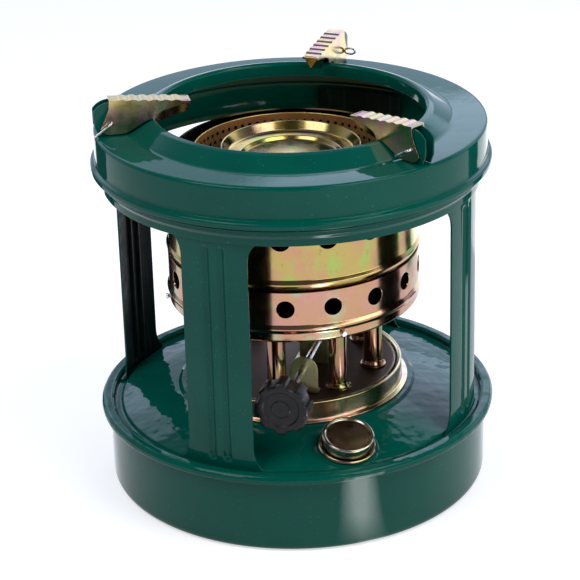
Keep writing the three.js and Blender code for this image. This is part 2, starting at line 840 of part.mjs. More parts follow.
function burnerTray() {
  const floorUnder = trayFloor - platedSheet;
  const wallInner = trayWallRadius - platedSheet;
  const body = revolve([
    [0, floorUnder],
    [wallInner, floorUnder],
    [wallInner, trayBottom],
    [trayFlangeRadius, trayBottom],
    [trayFlangeRadius, trayBottom + platedSheet],
    [trayWallRadius, trayBottom + platedSheet],
    [trayWallRadius, trayRimTop - trayRimWidth / 2],
    [trayWallRadius - trayRimWidth / 2, trayRimTop],
    [trayWallRadius - trayRimWidth, trayRimTop - trayRimWidth / 2],
    [trayFloorRadius, trayFloor],
    [0, trayFloor],
  ], traySides);
  const holes = wickPlaces().map(([x, y]) =>
    rod(tubeRadius + gap, cutterLength, tubeSides).translate(x, y, trayFloor));
  const slotStart = rackPitchLine - rackBack - gap;
  const slotEnd = rackPitchLine + gearModule + gap;
  const slot = new THREE.BoxGeometry(slotEnd - slotStart, rackWidth + gap * 2, cutterLength);
  slot.translate((slotStart + slotEnd) / 2, 0, trayFloor).rotateZ(-shaftHeading);
  return cut(body, ...holes, slot);
}

addPiece('burner_tray', burnerTray(), zincPlate);

// Wick tubes with flared collars, and the wicks inside them
function wickTube() {
  const tubeBottom = seatTop - tubeBelowSeat;
  const collarBottom = trayFloor + gap;
  return revolve([
    [tubeRadius - tubeWall, tubeBottom],
    [tubeRadius, tubeBottom],
    [tubeRadius, collarBottom],
    [collarRadius, collarBottom],
    [collarRadius, collarBottom + collarThickness],
    [tubeRadius, collarBottom + collarFlare],
    [tubeRadius, tubeTop],
    [tubeRadius - tubeWall, tubeTop],
  ], tubeSides);
}

wickPlaces().forEach(([x, y], i) => {
  const wick = rod(wickRadius, wickTop - wickBottom, wickSides);
  addPiece(`wick_tube_${i + 1}`, wickTube(), zincPlate).position.set(x, y, 0);
  addPiece(`wick_${i + 1}`, wick, cottonWick).position.set(x, y, (wickTop + wickBottom) / 2);
});

// Wick control, in a frame whose Y runs along the shaft from the knob to the rack
// and whose X runs from the rack to the shaft
function wickCarrier() {
  const top = carrierHeight + carrierThickness;
  const carrierRadius = wickCircle + wickRadius + carrierMargin;
  const plate = revolve([
    [carrierHoleRadius, carrierHeight], [carrierRadius, carrierHeight],
    [carrierRadius, top], [carrierHoleRadius, top],
  ], innerSides);
  const bridge = new THREE.BoxGeometry(carrierHoleRadius * 2, carrierBridgeWidth, carrierThickness);
  bridge.translate(0, 0, carrierHeight + carrierThickness / 2).rotateZ(-shaftHeading);
  const holes = wickPlaces().map(([x, y]) =>
    rod(wickRadius + gap, cutterLength, wickSides).translate(x, y, carrierHeight));
  return cut(joined(plate, bridge), ...holes);
}

const toothPitch = Math.PI * gearModule;
const rackRoot = rackPitchLine - gearModule;

function rackRod() {
  const bottom = carrierHeight + carrierThickness + gap;
  const back = rackPitchLine - rackBack;
  const crest = rackPitchLine + gearModule - gap;
  const rootHalf = toothPitch * toothRootShare;
  const tipHalf = toothPitch * toothTipShare;
  const points = [[back, bottom], [rackRoot, bottom]];
  for (let i = -rackLowerToothCount; i <= rackUpperToothCount; i += 1) {
    const middle = shaftHeight + i * toothPitch;
    points.push([rackRoot, middle - rootHalf], [crest, middle - tipHalf]);
    points.push([crest, middle + tipHalf], [rackRoot, middle + rootHalf]);
  }
  const top = shaftHeight + rackAboveShaft;
  points.push([rackRoot, top], [back, top]);
  return extruded(outline(points), rackWidth).translate(0, 0, -rackWidth / 2).rotateX(Math.PI / 2);
}

function pinion() {
  const tip = pitchRadius + gearModule - gap;
  const root = pitchRadius - gearModule;
  const toothTurn = (2 * Math.PI) / pinionToothCount;
  const corners = [
    [root, -toothRootShare], [tip, -toothTipShare], [tip, toothTipShare], [root, toothRootShare],
  ];
  const points = [];
  for (let i = 0; i < pinionToothCount; i += 1) {
    for (const [radius, share] of corners) {
      const angle = (i + 1 / 2 + share) * toothTurn;
      points.push([-radius * Math.cos(angle), radius * Math.sin(angle)]);
    }
  }
  const bore = rod(shaftRadius + gap, pinionWidth + overrun, tubeSides);
  const wheel = extruded(outline(points), pinionWidth).translate(0, 0, -pinionWidth / 2);
  return cut(wheel, bore).rotateX(Math.PI / 2).translate(shaftOffset, 0, shaftHeight);
}

// A rod along the shaft's line, between two distances from the rack
function alongShaft(radius, from, to, sides) {
  const bar = new THREE.CylinderGeometry(radius, radius, to - from, sides);
  return bar.translate(shaftOffset, (from + to) / 2, shaftHeight);
}

const knobBack = -knobMiddle + knobDepth / 2;
const knobFace = -knobMiddle - knobDepth / 2;

function knob() {
  const root = knobRadius - fluteDepth;
  const corners = [
    [knobRadius, -lobeShare], [knobRadius, lobeShare], [root, 1 / 2 - fluteShare], [root, 1 / 2 + fluteShare],
  ];
  const points = [];
  for (let i = 0; i < knobLobeCount; i += 1) {
    for (const [radius, share] of corners) {
      const angle = ((i + share) * 2 * Math.PI) / knobLobeCount;
      points.push([radius * Math.cos(angle), radius * Math.sin(angle)]);
    }
  }
  const body = extruded(outline(points), knobDepth).rotateX(Math.PI / 2);
  body.translate(shaftOffset, knobBack, shaftHeight);
  const recess = alongShaft(knobRecessRadius, knobFace - overrun, knobFace + knobRecessDepth, innerSides);
  const island = alongShaft(knobBossRadius, knobFace, knobFace + knobRecessDepth * 2, innerSides);
  const bore = alongShaft(sleeveRadius + gap, knobFace + knobDepth / 2, knobBack + overrun, tubeSides);
  return cut(joined(cut(body, recess), island), bore);
}

function knobSleeve() {
  const end = knobBack + sleeveLength;
  const tube = alongShaft(sleeveRadius, knobFace + knobDepth / 2 + gap, end, tubeSides);
  const bore = alongShaft(shaftRadius + gap, knobFace, end + overrun, tubeSides);
  const slot = new THREE.BoxGeometry(sleeveSlot, sleeveSlotDepth * 2, sleeveRadius * 2 + overrun);
  return cut(tube, bore, slot.translate(shaftOffset, end, shaftHeight));
}

// The arched plate that carries the shaft over the tray's edge
const bearingPlateReach = trayFloorRadius - bearingInset;

function bearingPlate() {
  const half = bearingPlateWidth / 2;
  const arch = arcPoints(half, 0, Math.PI, arcSteps).map(([x, z]) => [x, z + bearingPlateHeight - half]);
  const plate = extruded(outline([[-half, 0], [half, 0], ...arch]), sheet);
  plate.translate(0, 0, -sheet / 2).rotateX(Math.PI / 2);
  const foot = new THREE.BoxGeometry(bearingPlateWidth, bearingFoot, sheet);
  foot.translate(0, (bearingFoot - sheet) / 2, sheet / 2);
  const body = joined(plate, foot).translate(shaftOffset, -bearingPlateReach, trayFloor + gap);
  const bore = alongShaft(
    shaftRadius + gap, -bearingPlateReach - overrun, overrun - bearingPlateReach, tubeSides);
  return cut(body, bore);
}

// The bracket that carries the shaft's inner end and keeps the rack against the pinion
function rackGuide() {
  const far = rackPitchLine - rackBack - gap;
  const nearY = rackWidth / 2 + gap;
  const bottom = trayFloor + gap;
  const middle = bottom + guideHeight / 2;
  const back = new THREE.BoxGeometry(sheet, guideReach * 2, guideHeight);
  back.translate(far - sheet / 2, 0, middle);
  const cheekLength = shaftOffset + guideBeyondShaft - far + sheet;
  const sides = [-1, 1].flatMap((side) => {
    const cheek = new THREE.BoxGeometry(cheekLength, sheet, guideHeight);
    const rib = new THREE.BoxGeometry(guideRib, guideReach - nearY, guideHeight);
    return [
      cheek.translate(far + cheekLength / 2 - sheet, side * (guideReach - sheet / 2), middle),
      rib.translate(far + guideRib / 2, (side * (nearY + guideReach)) / 2, middle),
    ];
  });
  const foot = new THREE.BoxGeometry(guideFoot, guideReach * 2, sheet);
  foot.translate(far - guideFoot / 2, 0, bottom + sheet / 2);
  const bore = alongShaft(shaftRadius + gap, -guideReach - overrun, guideReach + overrun, tubeSides);
  return cut(joined(back, ...sides, foot), bore);
}

function shaftClip() {
  const start = guideReach + gap;
  const end = start + clipThickness;
  return cut(
    alongShaft(clipRadius, start, end, tubeSides),
    alongShaft(shaftRadius + gap, start - overrun, end + overrun, tubeSides));
}

const shaft = alongShaft(shaftRadius, knobFace + knobDepth / 2 + gap, shaftRear, tubeSides);

addPiece('wick_carrier', wickCarrier(), brightSteel);
addPiece('rack_rod', rackRod(), brightSteel, shaftFrame);
addPiece('control_shaft', shaft, brightSteel, shaftFrame);
addPiece('pinion', pinion(), brass, shaftFrame);
addPiece('knob_sleeve', knobSleeve(), brass, shaftFrame);
addPiece('control_knob', knob(), blackPlastic, shaftFrame);
addPiece('shaft_bearing_plate', bearingPlate(), zincPlate, shaftFrame);
addPiece('rack_guide', rackGuide(), zincPlate, shaftFrame);
addPiece('shaft_clip', shaftClip(), brightSteel, shaftFrame);

// Gallery plate on the wick tubes
function galleryPlate() {
  const galleryOuter = wickCircle + tubeRadius + galleryOuterMargin;
  const galleryInner = wickCircle - tubeRadius - galleryInnerMargin;
  const plate = revolve([
    [galleryInner, galleryTop - platedSheet], [galleryOuter, galleryTop - platedSheet],
    [galleryOuter, galleryTop], [galleryInner, galleryTop],
  ], traySides);
  const holes = wickPlaces().map(([x, y]) =>
    rod(tubeRadius + gap, cutterLength, tubeSides).translate(x, y, galleryTop));
  return cut(plate, ...holes);
}

addPiece('gallery_plate', galleryPlate(), zincPlate);

// Burner drum: outer shells with air holes, flame tubes and the flame spreader
const upperRadius = (drumRadius - platedSheet) * drumFlatShare - gap;
const holePitch = (2 * Math.PI) / holeCount;

// Turns a shell's facets so that each air hole lies in the middle of one
function facetStart(holeAzimuth) {
  return holeAzimuth - Math.PI / drumSides;
}

function airHoles(height, radius, first) {
  const cutters = [];
  for (let i = 0; i < holeCount; i += 1) {
    const azimuth = first + i * holePitch;
    cutters.push(radialRod(radius, cutterLength, drumRadius, height, azimuth, holeSides));
  }
  return cutters;
}

const drumPinHeight = drumBottom + drumPinRise;

function pinHoles(radius) {
  return drumPinAzimuths.map((azimuth) =>
    radialRod(drumPinRadius + gap, cutterLength, radius, drumPinHeight, azimuth, pinSides));
}

function drumLowerShell() {
  const ridgeBottom = drumBottom + ridgeAboveBottom;
  const ridgeTop = ridgeBottom + ridgeHeight;
  const line = [
    [(flameOuterRadius + gap) / drumFlatShare, drumBottom],
    [drumRadius - drumBottomCorner, drumBottom],
    [drumRadius, drumBottom + drumBottomCorner],
    [drumRadius, ridgeBottom],
    [drumRadius + ridgeRise, (ridgeBottom + ridgeTop) / 2],
    [drumRadius, ridgeTop],
    [drumRadius, drumSeam],
  ];
  const holes = airHoles(drumBottom + lowerHoleRise, lowerHoleRadius, lowerHoleAzimuth);
  const shell = revolve(sheetOutline(line, platedSheet), drumSides, facetStart(lowerHoleAzimuth));
  return cut(shell, ...holes, ...pinHoles(drumRadius));
}

function drumUpperShell() {
  const upperRidgeBottom = drumSeam + upperRidgeAboveSeam;
  const upperRidgeTop = upperRidgeBottom + upperRidgeHeight;
  const line = [
    [upperRadius, drumSeam - drumLap],
    [upperRadius, drumSeam],
    [drumRadius - gap, upperRidgeBottom],
    [drumRadius + ridgeRise - gap, (upperRidgeBottom + upperRidgeTop) / 2],
    [upperRadius + platedSheet, upperRidgeTop],
    [upperRadius + platedSheet, drumTop - drumTopCurl],
    [upperRadius - drumTopCurl, drumTop],
  ];
  const holes = airHoles(drumSeam + upperHoleAboveSeam, upperHoleRadius, upperHoleAzimuth);
  const shell = revolve(sheetOutline(line, platedSheet), drumSides, facetStart(upperHoleAzimuth));
  return cut(shell, ...holes);
}

function flameTube(radius, top) {
  const wall = revolve([
    [radius - platedSheet, drumBottom], [radius, drumBottom],
    [radius, top], [radius - platedSheet, top],
  ], innerSides);
  return cut(wall, ...pinHoles(radius));
}

function flameSpreader() {
  const rim = flameInnerRadius + spreaderOverlap;
  const top = drumTop + spreaderAboveDrum;
  const tier = rim - spreaderRimWidth;
  const dishFloor = top - spreaderDrop - spreaderDish;
  const line = [
    [rim, top - spreaderSkirt],
    [rim, top - sheet],
    [rim - sheet, top],
    [tier, top - spreaderDrop],
    [tier - spreaderTierWidth, dishFloor],
    [spreaderHole, dishFloor],
  ];
  return revolve(sheetOutline(line, platedSheet), innerSides);
}

function drumPin(azimuth) {
  const start = flameInnerRadius - drumPinInside;
  const end = drumRadius + drumPinOutside;
  const middle = (start + end) / 2;
  const bar = radialRod(drumPinRadius, end - start, middle, drumPinHeight, azimuth, pinSides);
  const head = radialRod(drumPinHead, sheet, end, drumPinHeight, azimuth, pinSides);
  return joined(bar, head);
}

addPiece('drum_lower_shell', drumLowerShell(), zincPlate);
addPiece('drum_upper_shell', drumUpperShell(), zincPlate);
addPiece('flame_tube_outer', flameTube(flameOuterRadius, drumTop + flameOuterAboveDrum), zincPlate);
addPiece('flame_tube_inner', flameTube(flameInnerRadius, drumTop - flameInnerBelowDrum), zincPlate);
addPiece('flame_spreader', flameSpreader(), zincPlate);
drumPinAzimuths.forEach((azimuth, i) => {
  addPiece(`drum_pin_${i + 1}`, drumPin(azimuth), brightSteel);
});

export default stove;
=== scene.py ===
# Looks of a green kerosene wick stove with eight wicks and three folding pot supports.
# Pieces are built in millimetres in the part's own frame: +Z up, the front window
# toward -Y, and azimuths that run from -Y toward +X. An outline lists radius and height,
# and a third number rounds the corner at that point.

import json
import math

import bmesh
import bpy
from mathutils import Matrix, Vector

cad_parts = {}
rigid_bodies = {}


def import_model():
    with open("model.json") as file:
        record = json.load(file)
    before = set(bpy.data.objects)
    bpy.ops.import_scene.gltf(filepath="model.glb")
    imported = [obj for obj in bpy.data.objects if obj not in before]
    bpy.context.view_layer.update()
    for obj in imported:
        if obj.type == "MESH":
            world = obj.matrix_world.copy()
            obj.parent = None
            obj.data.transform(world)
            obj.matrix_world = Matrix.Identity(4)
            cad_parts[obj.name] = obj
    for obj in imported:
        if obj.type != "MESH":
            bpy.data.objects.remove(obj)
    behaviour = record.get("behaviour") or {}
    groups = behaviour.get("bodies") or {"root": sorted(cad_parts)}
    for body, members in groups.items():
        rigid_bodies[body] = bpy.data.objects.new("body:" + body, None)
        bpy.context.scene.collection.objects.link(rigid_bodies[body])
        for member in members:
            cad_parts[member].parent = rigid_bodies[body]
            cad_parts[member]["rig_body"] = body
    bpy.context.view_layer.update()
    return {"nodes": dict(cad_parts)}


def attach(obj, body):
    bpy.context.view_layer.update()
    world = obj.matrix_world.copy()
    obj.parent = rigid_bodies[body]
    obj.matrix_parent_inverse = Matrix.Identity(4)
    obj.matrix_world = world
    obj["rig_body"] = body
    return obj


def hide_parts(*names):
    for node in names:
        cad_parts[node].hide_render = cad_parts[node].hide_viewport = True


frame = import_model()

mm = 0.001
fullTurn = 2 * math.pi
ringSteps = 160
smallSteps = 48
sharpAngle = math.radians(38)
cornerShare = 0.49
edgeShare = 0.3
leastMitre = 0.5
weldGap = 0.002 * mm
leastEdge = 0.001 * mm


# Geometry helpers

def along(azimuth, radius, height=0.0):
    return Vector((radius * math.sin(azimuth), -radius * math.cos(azimuth), height))


def heading(azimuth, elevation):
    lift = math.radians(elevation)
    return along(math.radians(azimuth), math.cos(lift), math.sin(lift))


def rounded(points, closed=False, steps=5):
    line = []
    count = len(points)
    for i, point in enumerate(points):
        here = Vector(point[:2])
        radius = point[2] if len(point) > 2 else 0
        if radius == 0 or (not closed and i in (0, count - 1)):
            line.append(tuple(here))
            continue
        before = Vector(points[i - 1][:2]) - here
        after = Vector(points[(i + 1) % count][:2]) - here
        turn = math.pi - before.angle(after)
        longest = cornerShare * min(before.length, after.length)
        reach = min(radius * math.tan(turn / 2), longest)
        start = here + before.normalized() * reach
        end = here + after.normalized() * reach
        for step in range(steps + 1):
            t = step / steps
            line.append(tuple(start * (1 - t) ** 2 + here * (2 * t * (1 - t)) + end * t ** 2))
    return line


def thickened(line, thickness):
    far = []
    for i, point in enumerate(line):
        here = Vector(point)
        before = Vector(line[max(i - 1, 0)])
        after = Vector(line[min(i + 1, len(line) - 1)])
        arriving = (here - before if i > 0 else after - here).normalized()
        leaving = (after - here if i + 1 < len(line) else arriving).normalized()
        side = Vector((-arriving.y, arriving.x))
        normal = (side + Vector((-leaving.y, leaving.x))).normalized()
        far.append(here + normal * thickness / max(normal.dot(side), leastMitre))
    soft = edgeShare * thickness
    loop = [(*line[0], soft)] + [(*p, 0) for p in line[1:-1]] + [(*line[-1], soft)]
    loop += [(*far[-1], soft)] + [(*p, 0) for p in reversed(far[1:-1])] + [(*far[0], soft)]
    return rounded(loop, closed=True, steps=3)


def turned(loop, steps=ringSteps, closed=True, start=0.0):
    bm = bmesh.new()
    verts = [bm.verts.new((x * mm, 0, z * mm)) for x, z in loop]
    pairs = list(zip(verts, verts[1:]))
    if closed:
        pairs.append((verts[-1], verts[0]))
    edges = [bm.edges.new(pair) for pair in pairs]
    toStart = Matrix.Rotation(start - math.pi / 2, 3, "Z")
    bmesh.ops.rotate(bm, verts=verts, matrix=toStart)
    bmesh.ops.spin(bm, geom=verts + edges, axis=(0, 0, 1), angle=fullTurn, steps=steps,
                   use_merge=True)
    bmesh.ops.remove_doubles(bm, verts=bm.verts, dist=weldGap)
    bmesh.ops.dissolve_degenerate(bm, edges=bm.edges, dist=leastEdge)
    return bm


def flat(points, plane="YZ"):
    bm = bmesh.new()
    first, second = ("XYZ".index(axis) for axis in plane)
    verts = []
    for a, b in points:
        place = Vector((0, 0, 0))
        place[first], place[second] = a, b
        verts.append(bm.verts.new(place * mm))
    bm.faces.new(verts)
    return bm


def extrude(bm, offset):
    shape = bmesh.ops.extrude_face_region(bm, geom=bm.faces[:])
    bmesh.ops.translate(bm, verts=vertsOf(shape["geom"]), vec=Vector(offset) * mm)
    return bm


def vertsOf(geometry):
    return [g for g in geometry if isinstance(g, bmesh.types.BMVert)]


def moved(bm, matrix):
    bmesh.ops.transform(bm, matrix=matrix, verts=bm.verts)
    return bm


def shift(x, y, z):
    return Matrix.Translation(Vector((x, y, z)) * mm)


def merged(bm, other):
    mesh = bpy.data.meshes.new("part")
    other.to_mesh(mesh)
    other.free()
    bm.from_mesh(mesh)
    bpy.data.meshes.remove(mesh)
    return bm


def facing(bm, centre=None):
    bmesh.ops.recalc_face_normals(bm, faces=bm.faces)
    if centre is not None:
        middle = Vector(centre) * mm
        lean = sum(f.normal.dot(f.calc_center_median() - middle) * f.calc_area()
                   for f in bm.faces)
        if lean < 0:
            bmesh.ops.reverse_faces(bm, faces=bm.faces)
    return bm


def softenEdges(piece, width, steps, angle):
    edges = piece.modifiers.new("edges", "BEVEL")
    edges.width = width * mm
    edges.segments = steps
    edges.limit_method = "ANGLE"
    edges.angle_limit = math.radians(angle)
    return edges


def showPiece(name, bm, material, node, centre=None, sheet=0, bevel=0, angle=40,
              faced=False, inside=None):
    if not faced:
        facing(bm, centre)
    mesh = bpy.data.meshes.new(name)
    bm.to_mesh(mesh)
    bm.free()
    mesh.shade_smooth()
    mesh.set_sharp_from_angle(angle=sharpAngle)
    piece = bpy.data.objects.new(name, mesh)
    bpy.context.scene.collection.objects.link(piece)
    mesh.materials.append(material)
    if sheet:
        solid = piece.modifiers.new("sheet", "SOLIDIFY")
        solid.thickness = sheet * mm
        solid.offset = -1
        solid.use_even_offset = True
        if inside:
            mesh.materials.append(inside)
            solid.material_offset = 1
    if bevel:
        softenEdges(piece, bevel, 3, angle).harden_normals = True
    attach(piece, frame["nodes"][node]["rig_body"])
    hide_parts(node)


def keepNode(name, material, bevel):
    node = frame["nodes"][name]
    node.data.materials.clear()
    node.data.materials.append(material)
    softenEdges(node, bevel, 2, 35)


def wire(points, radius, closed=False):
    curve = bpy.data.curves.new("wire", "CURVE")
    curve.dimensions = "3D"
    curve.bevel_depth = radius * mm
    curve.bevel_resolution = 3
    curve.use_fill_caps = True
    curve.resolution_u = 10
    spline = curve.splines.new("BEZIER")
    spline.bezier_points.add(len(points) - 1)
    for knot, point in zip(spline.bezier_points, points):
        knot.co = Vector(point) * mm
        knot.handle_left_type = knot.handle_right_type = "AUTO"
    spline.use_cyclic_u = closed
    holder = bpy.data.objects.new("wire", curve)
    bpy.context.scene.collection.objects.link(holder)
    mesh = bpy.data.meshes.new_from_object(holder)
    bm = bmesh.new()
    bm.from_mesh(mesh)
    bpy.data.objects.remove(holder)
    bpy.data.curves.remove(curve)
    bpy.data.meshes.remove(mesh)
    bmesh.ops.remove_doubles(bm, verts=bm.verts, dist=leastEdge)
    return bm


# Material helpers. A noise is given as its size in mm, detail and stretch, a window as the
# values between which it fades, and a relief as strength and depth in mm.

def srgb(code):
    channels = [int(code[i:i + 2], 16) / 255 for i in (0, 2, 4)]
    linear = [c / 12.92 if c <= 0.04045 else ((c + 0.055) / 1.055) ** 2.4 for c in channels]
    return linear + [1.0]


def setInputs(tree, node, inputs):
    for key, value in inputs.items():
        if isinstance(value, bpy.types.NodeSocket):
            tree.links.new(value, node.inputs[key])
        else:
            node.inputs[key].default_value = value


def addNode(tree, kind, inputs, **settings):
    node = tree.nodes.new(kind)
    for key, value in settings.items():
        setattr(node, key, value)
    setInputs(tree, node, inputs)
    return node


def newMaterial(name):
    material = bpy.data.materials.new(name)
    material.use_nodes = True
    tree = material.node_tree
    shader = tree.nodes["Principled BSDF"]
    place = addNode(tree, "ShaderNodeTexCoord", {}).outputs["Object"]
    return material, tree, shader, place


def noise(tree, place, size, detail=3, stretch=None):
    if stretch:
        place = addNode(tree, "ShaderNodeMapping", {"Vector": place, "Scale": stretch}).outputs[0]
    return addNode(tree, "ShaderNodeTexNoise", {
        "Vector": place, "Scale": 1 / (size * mm), "Detail": detail}).outputs["Fac"]


def spread(tree, value, low, high, outLow=0, outHigh=1):
    return addNode(tree, "ShaderNodeMapRange", {
        "Value": value, "From Min": low, "From Max": high, "To Min": outLow, "To Max": outHigh,
    }).outputs[0]


def maths(tree, operation, first, second=0.0):
    return addNode(tree, "ShaderNodeMath", {0: first, 1: second}, operation=operation).outputs[0]


def hypotenuse(tree, first, second):
    squares = [maths(tree, "MULTIPLY", value, value) for value in (first, second)]
    return maths(tree, "SQRT", maths(tree, "ADD", *squares))


def split(tree, place):
    return addNode(tree, "ShaderNodeSeparateXYZ", {0: place}).outputs


def blend(tree, share, first, second):
    inputs = {0: share, 6: first, 7: second}
    return addNode(tree, "ShaderNodeMix", inputs, data_type="RGBA").outputs[2]


def bump(tree, height, strength, depth, normal=None):
    inputs = {"Height": height, "Strength": strength, "Distance": depth * mm}
    if normal is not None:
        inputs["Normal"] = normal
    return addNode(tree, "ShaderNodeBump", inputs).outputs[0]


hazeWindow = (0.3, 0.7)


def haze(tree, place, size, detail, low, high):
    return spread(tree, noise(tree, place, size, detail), *hazeWindow, low, high)


def mottled(name, look):
    material, tree, shader, place = newMaterial(name)
    cloud = spread(tree, noise(tree, place, *look["cloud"]), *look["window"])
    setInputs(tree, shader, {
        "Base Color": blend(tree, cloud, *map(srgb, look["tones"])),
        "Roughness": haze(tree, place, *look["haze"]),
        "Normal": bump(tree, noise(tree, place, *look["grain"]), *look["relief"]),
        "Metallic": look.get("metallic", 0),
    })
    if "specular" in look:
        setInputs(tree, shader, {"Specular IOR Level": look["specular"]})
    return material


# Vitreous enamel on pressed steel: deep green, glassy, a little wavy, with fine specks
enamelLook = {"tones": ("005346", "004d42"), "cloud": (38, 2), "window": (0.35, 0.65),
              "speckTone": "2d7265", "speck": (1.1, 1), "speckWindow": (0.735, 0.76),
              "haze": (14, 3, 0.03, 0.08), "specular": 0.15, "grain": (1.4, 2),
              "relief": (0.2, 0.012)}


def greenEnamel(name, waveDepth, waveSize):
    look = enamelLook
    material, tree, shader, place = newMaterial(name)
    cloud = spread(tree, noise(tree, place, *look["cloud"]), *look["window"])
    speck = spread(tree, noise(tree, place, *look["speck"]), *look["speckWindow"])
    tone = blend(tree, cloud, *map(srgb, look["tones"]))
    wave = bump(tree, noise(tree, place, waveSize, 2), 1, waveDepth)
    setInputs(tree, shader, {
        "Base Color": blend(tree, speck, tone, srgb(look["speckTone"])),
        "Roughness": haze(tree, place, *look["haze"]),
        "Specular IOR Level": look["specular"],
        "Normal": bump(tree, noise(tree, place, *look["grain"]), *look["relief"], wave),
    })
    return material


# Yellow zinc plate on steel sheet: gold with pink and olive clouds, fine scratches, the top
# darkened with painted shade above a given height, and the middle darkened with painted shade and
# made rougher
zincLook = {"window": (0.42, 0.62), "oliveShare": 0.7, "oliveStretch": (1, 1, 0.7),
            "oliveWindow": (0.5, 0.68), "spotTone": "7d6a48", "spot": (3.2, 5),
            "spotWindow": (0.6, 0.78, 0, 0.45), "darkTopTone": "0e0c0a", "topShadeShare": 0.95,
            "middleShadeTone": "3c2a20", "middleShadeShare": 0.92, "middleShadeRough": 0.5, "haze": (6, 4),
            "roughShares": (0.75, 1.35), "scratch": (2.2, 4, (6, 6, 0.5)),
            "scratchRelief": (0.16, 0.012), "dent": (12, 2), "dentRelief": (0.3, 0.05)}


def zincPlate(name, gold, pink, olive, rough=0.2, cloud=16, darkTop=None, shadedMiddle=None):
    look = zincLook
    material, tree, shader, place = newMaterial(name)
    parts = split(tree, place)
    pinkShare = spread(tree, noise(tree, place, cloud, 3), *look["window"])
    oliveNoise = noise(tree, place, cloud * look["oliveShare"], 3, look["oliveStretch"])
    oliveShare = spread(tree, oliveNoise, *look["oliveWindow"])
    tone = blend(tree, oliveShare, blend(tree, pinkShare, srgb(gold), srgb(pink)), srgb(olive))
    spot = spread(tree, noise(tree, place, *look["spot"]), *look["spotWindow"])
    tone = blend(tree, spot, tone, srgb(look["spotTone"]))
    # Painted shade: darker above the given height
    if darkTop:
        soot = spread(tree, parts["Z"], *darkTop, 0, look["topShadeShare"])
        tone = blend(tree, soot, tone, srgb(look["darkTopTone"]))
    dull = haze(tree, place, *look["haze"], *(rough * share for share in look["roughShares"]))
    # Painted shade: darker and rougher inside the given radius
    if shadedMiddle:
        reach = hypotenuse(tree, parts["X"], parts["Y"])
        middleShade = spread(tree, reach, *shadedMiddle, look["middleShadeShare"], 0)
        tone = blend(tree, middleShade, tone, srgb(look["middleShadeTone"]))
        dull = maths(tree, "MAXIMUM", dull, spread(tree, reach, *shadedMiddle, look["middleShadeRough"], 0))
    dent = bump(tree, noise(tree, place, *look["dent"]), *look["dentRelief"])
    scratch = noise(tree, place, *look["scratch"])
    setInputs(tree, shader, {
        "Base Color": tone, "Metallic": 1, "Roughness": dull,
        "Normal": bump(tree, scratch, *look["scratchRelief"], dent),
    })
    return material


# Flame tube: yellow zinc sheet with staggered rows of small punched holes drawn in dark painted
# shade, painted shade low down and on the outer tube's outside, and a painted highlight on its rim
punch = {"start": 1.9 * mm, "pitch": 4.6 * mm, "columns": 72, "holeEdge": (0.21, 0.25),
         "plain": (195 * mm, 195.2 * mm), "outside": (54.15 * mm, 54.25 * mm),
         "outsideShadeShare": 0.96, "holeShadeTone": "0c0a08", "deep": (176 * mm, 190 * mm),
         "deepShadeShare": 0.92, "deepShadeTone": "16171d", "rim": (196.9 * mm, 197.1 * mm),
         "rimHighlightTone": "e3c37a", "metallic": (0.7, 0.1)}


def punchedZinc():
    material = zincPlate("punchedZinc", "e0a468", "dc8f5c", "b4985a", rough=0.22)
    tree = material.node_tree
    shader = tree.nodes["Principled BSDF"]
    x, y, z = split(tree, tree.nodes["Texture Coordinate"].outputs["Object"])
    row = maths(tree, "DIVIDE", maths(tree, "SUBTRACT", z, punch["start"]), punch["pitch"])
    turn = maths(tree, "MULTIPLY", maths(tree, "ARCTAN2", y, x), punch["columns"] / fullTurn)
    odd = maths(tree, "MODULO", maths(tree, "FLOOR", row), 2.0)
    column = maths(tree, "ADD", turn, maths(tree, "MULTIPLY", odd, 0.5))
    across, up = (maths(tree, "SUBTRACT", maths(tree, "FRACT", cell), 0.5)
                  for cell in (column, row))
    # Painted shade: each punched hole is drawn as a dark spot
    opening = spread(tree, hypotenuse(tree, across, up), *punch["holeEdge"], 1, 0)
    opening = maths(tree, "MULTIPLY", opening, spread(tree, z, *punch["plain"], 1, 0))
    # Painted shade on the outer tube's outside, facing the drum
    outside = spread(tree, hypotenuse(tree, x, y), *punch["outside"], 0, punch["outsideShadeShare"])
    hole = maths(tree, "MAXIMUM", opening, outside)
    plated = shader.inputs["Base Color"].links[0].from_socket
    # Painted shade low in the tubes, below the given heights
    deep = spread(tree, z, *punch["deep"], punch["deepShadeShare"], 0)
    wall = blend(tree, deep, plated, srgb(punch["deepShadeTone"]))
    wall = blend(tree, hole, wall, srgb(punch["holeShadeTone"]))
    # Painted highlight on the outer tube's rim
    rim = spread(tree, z, *punch["rim"])
    setInputs(tree, shader, {
        "Base Color": blend(tree, rim, wall, srgb(punch["rimHighlightTone"])),
        "Metallic": spread(tree, hole, 0, 1, *punch["metallic"]),
    })
    return material


# Woven cotton wick: off-white cords, darker toward the charred top end
cottonLook = {"cord": 6, "distortion": 1.5, "tones": ("e6dfcb", "cdc3a8"), "darkTopTone": "3c342b",
              "darkTop": (112 * mm, 116 * mm, 0, 0.75), "haze": (2, 2, 0.85, 1),
              "relief": (0.6, 0.2)}


def cottonWick():
    look = cottonLook
    material, tree, shader, place = newMaterial("cottonWick")
    cords = addNode(tree, "ShaderNodeTexWave", {
        "Vector": place, "Scale": 1 / (look["cord"] * mm), "Distortion": look["distortion"],
        "Detail": 2}, bands_direction="DIAGONAL").outputs["Fac"]
    darkTop = spread(tree, split(tree, place)["Z"], *look["darkTop"])
    thread = blend(tree, cords, *map(srgb, look["tones"]))
    setInputs(tree, shader, {
        "Base Color": blend(tree, darkTop, thread, srgb(look["darkTopTone"])),
        "Roughness": haze(tree, place, *look["haze"]),
        "Normal": bump(tree, cords, *look["relief"]),
    })
    return material


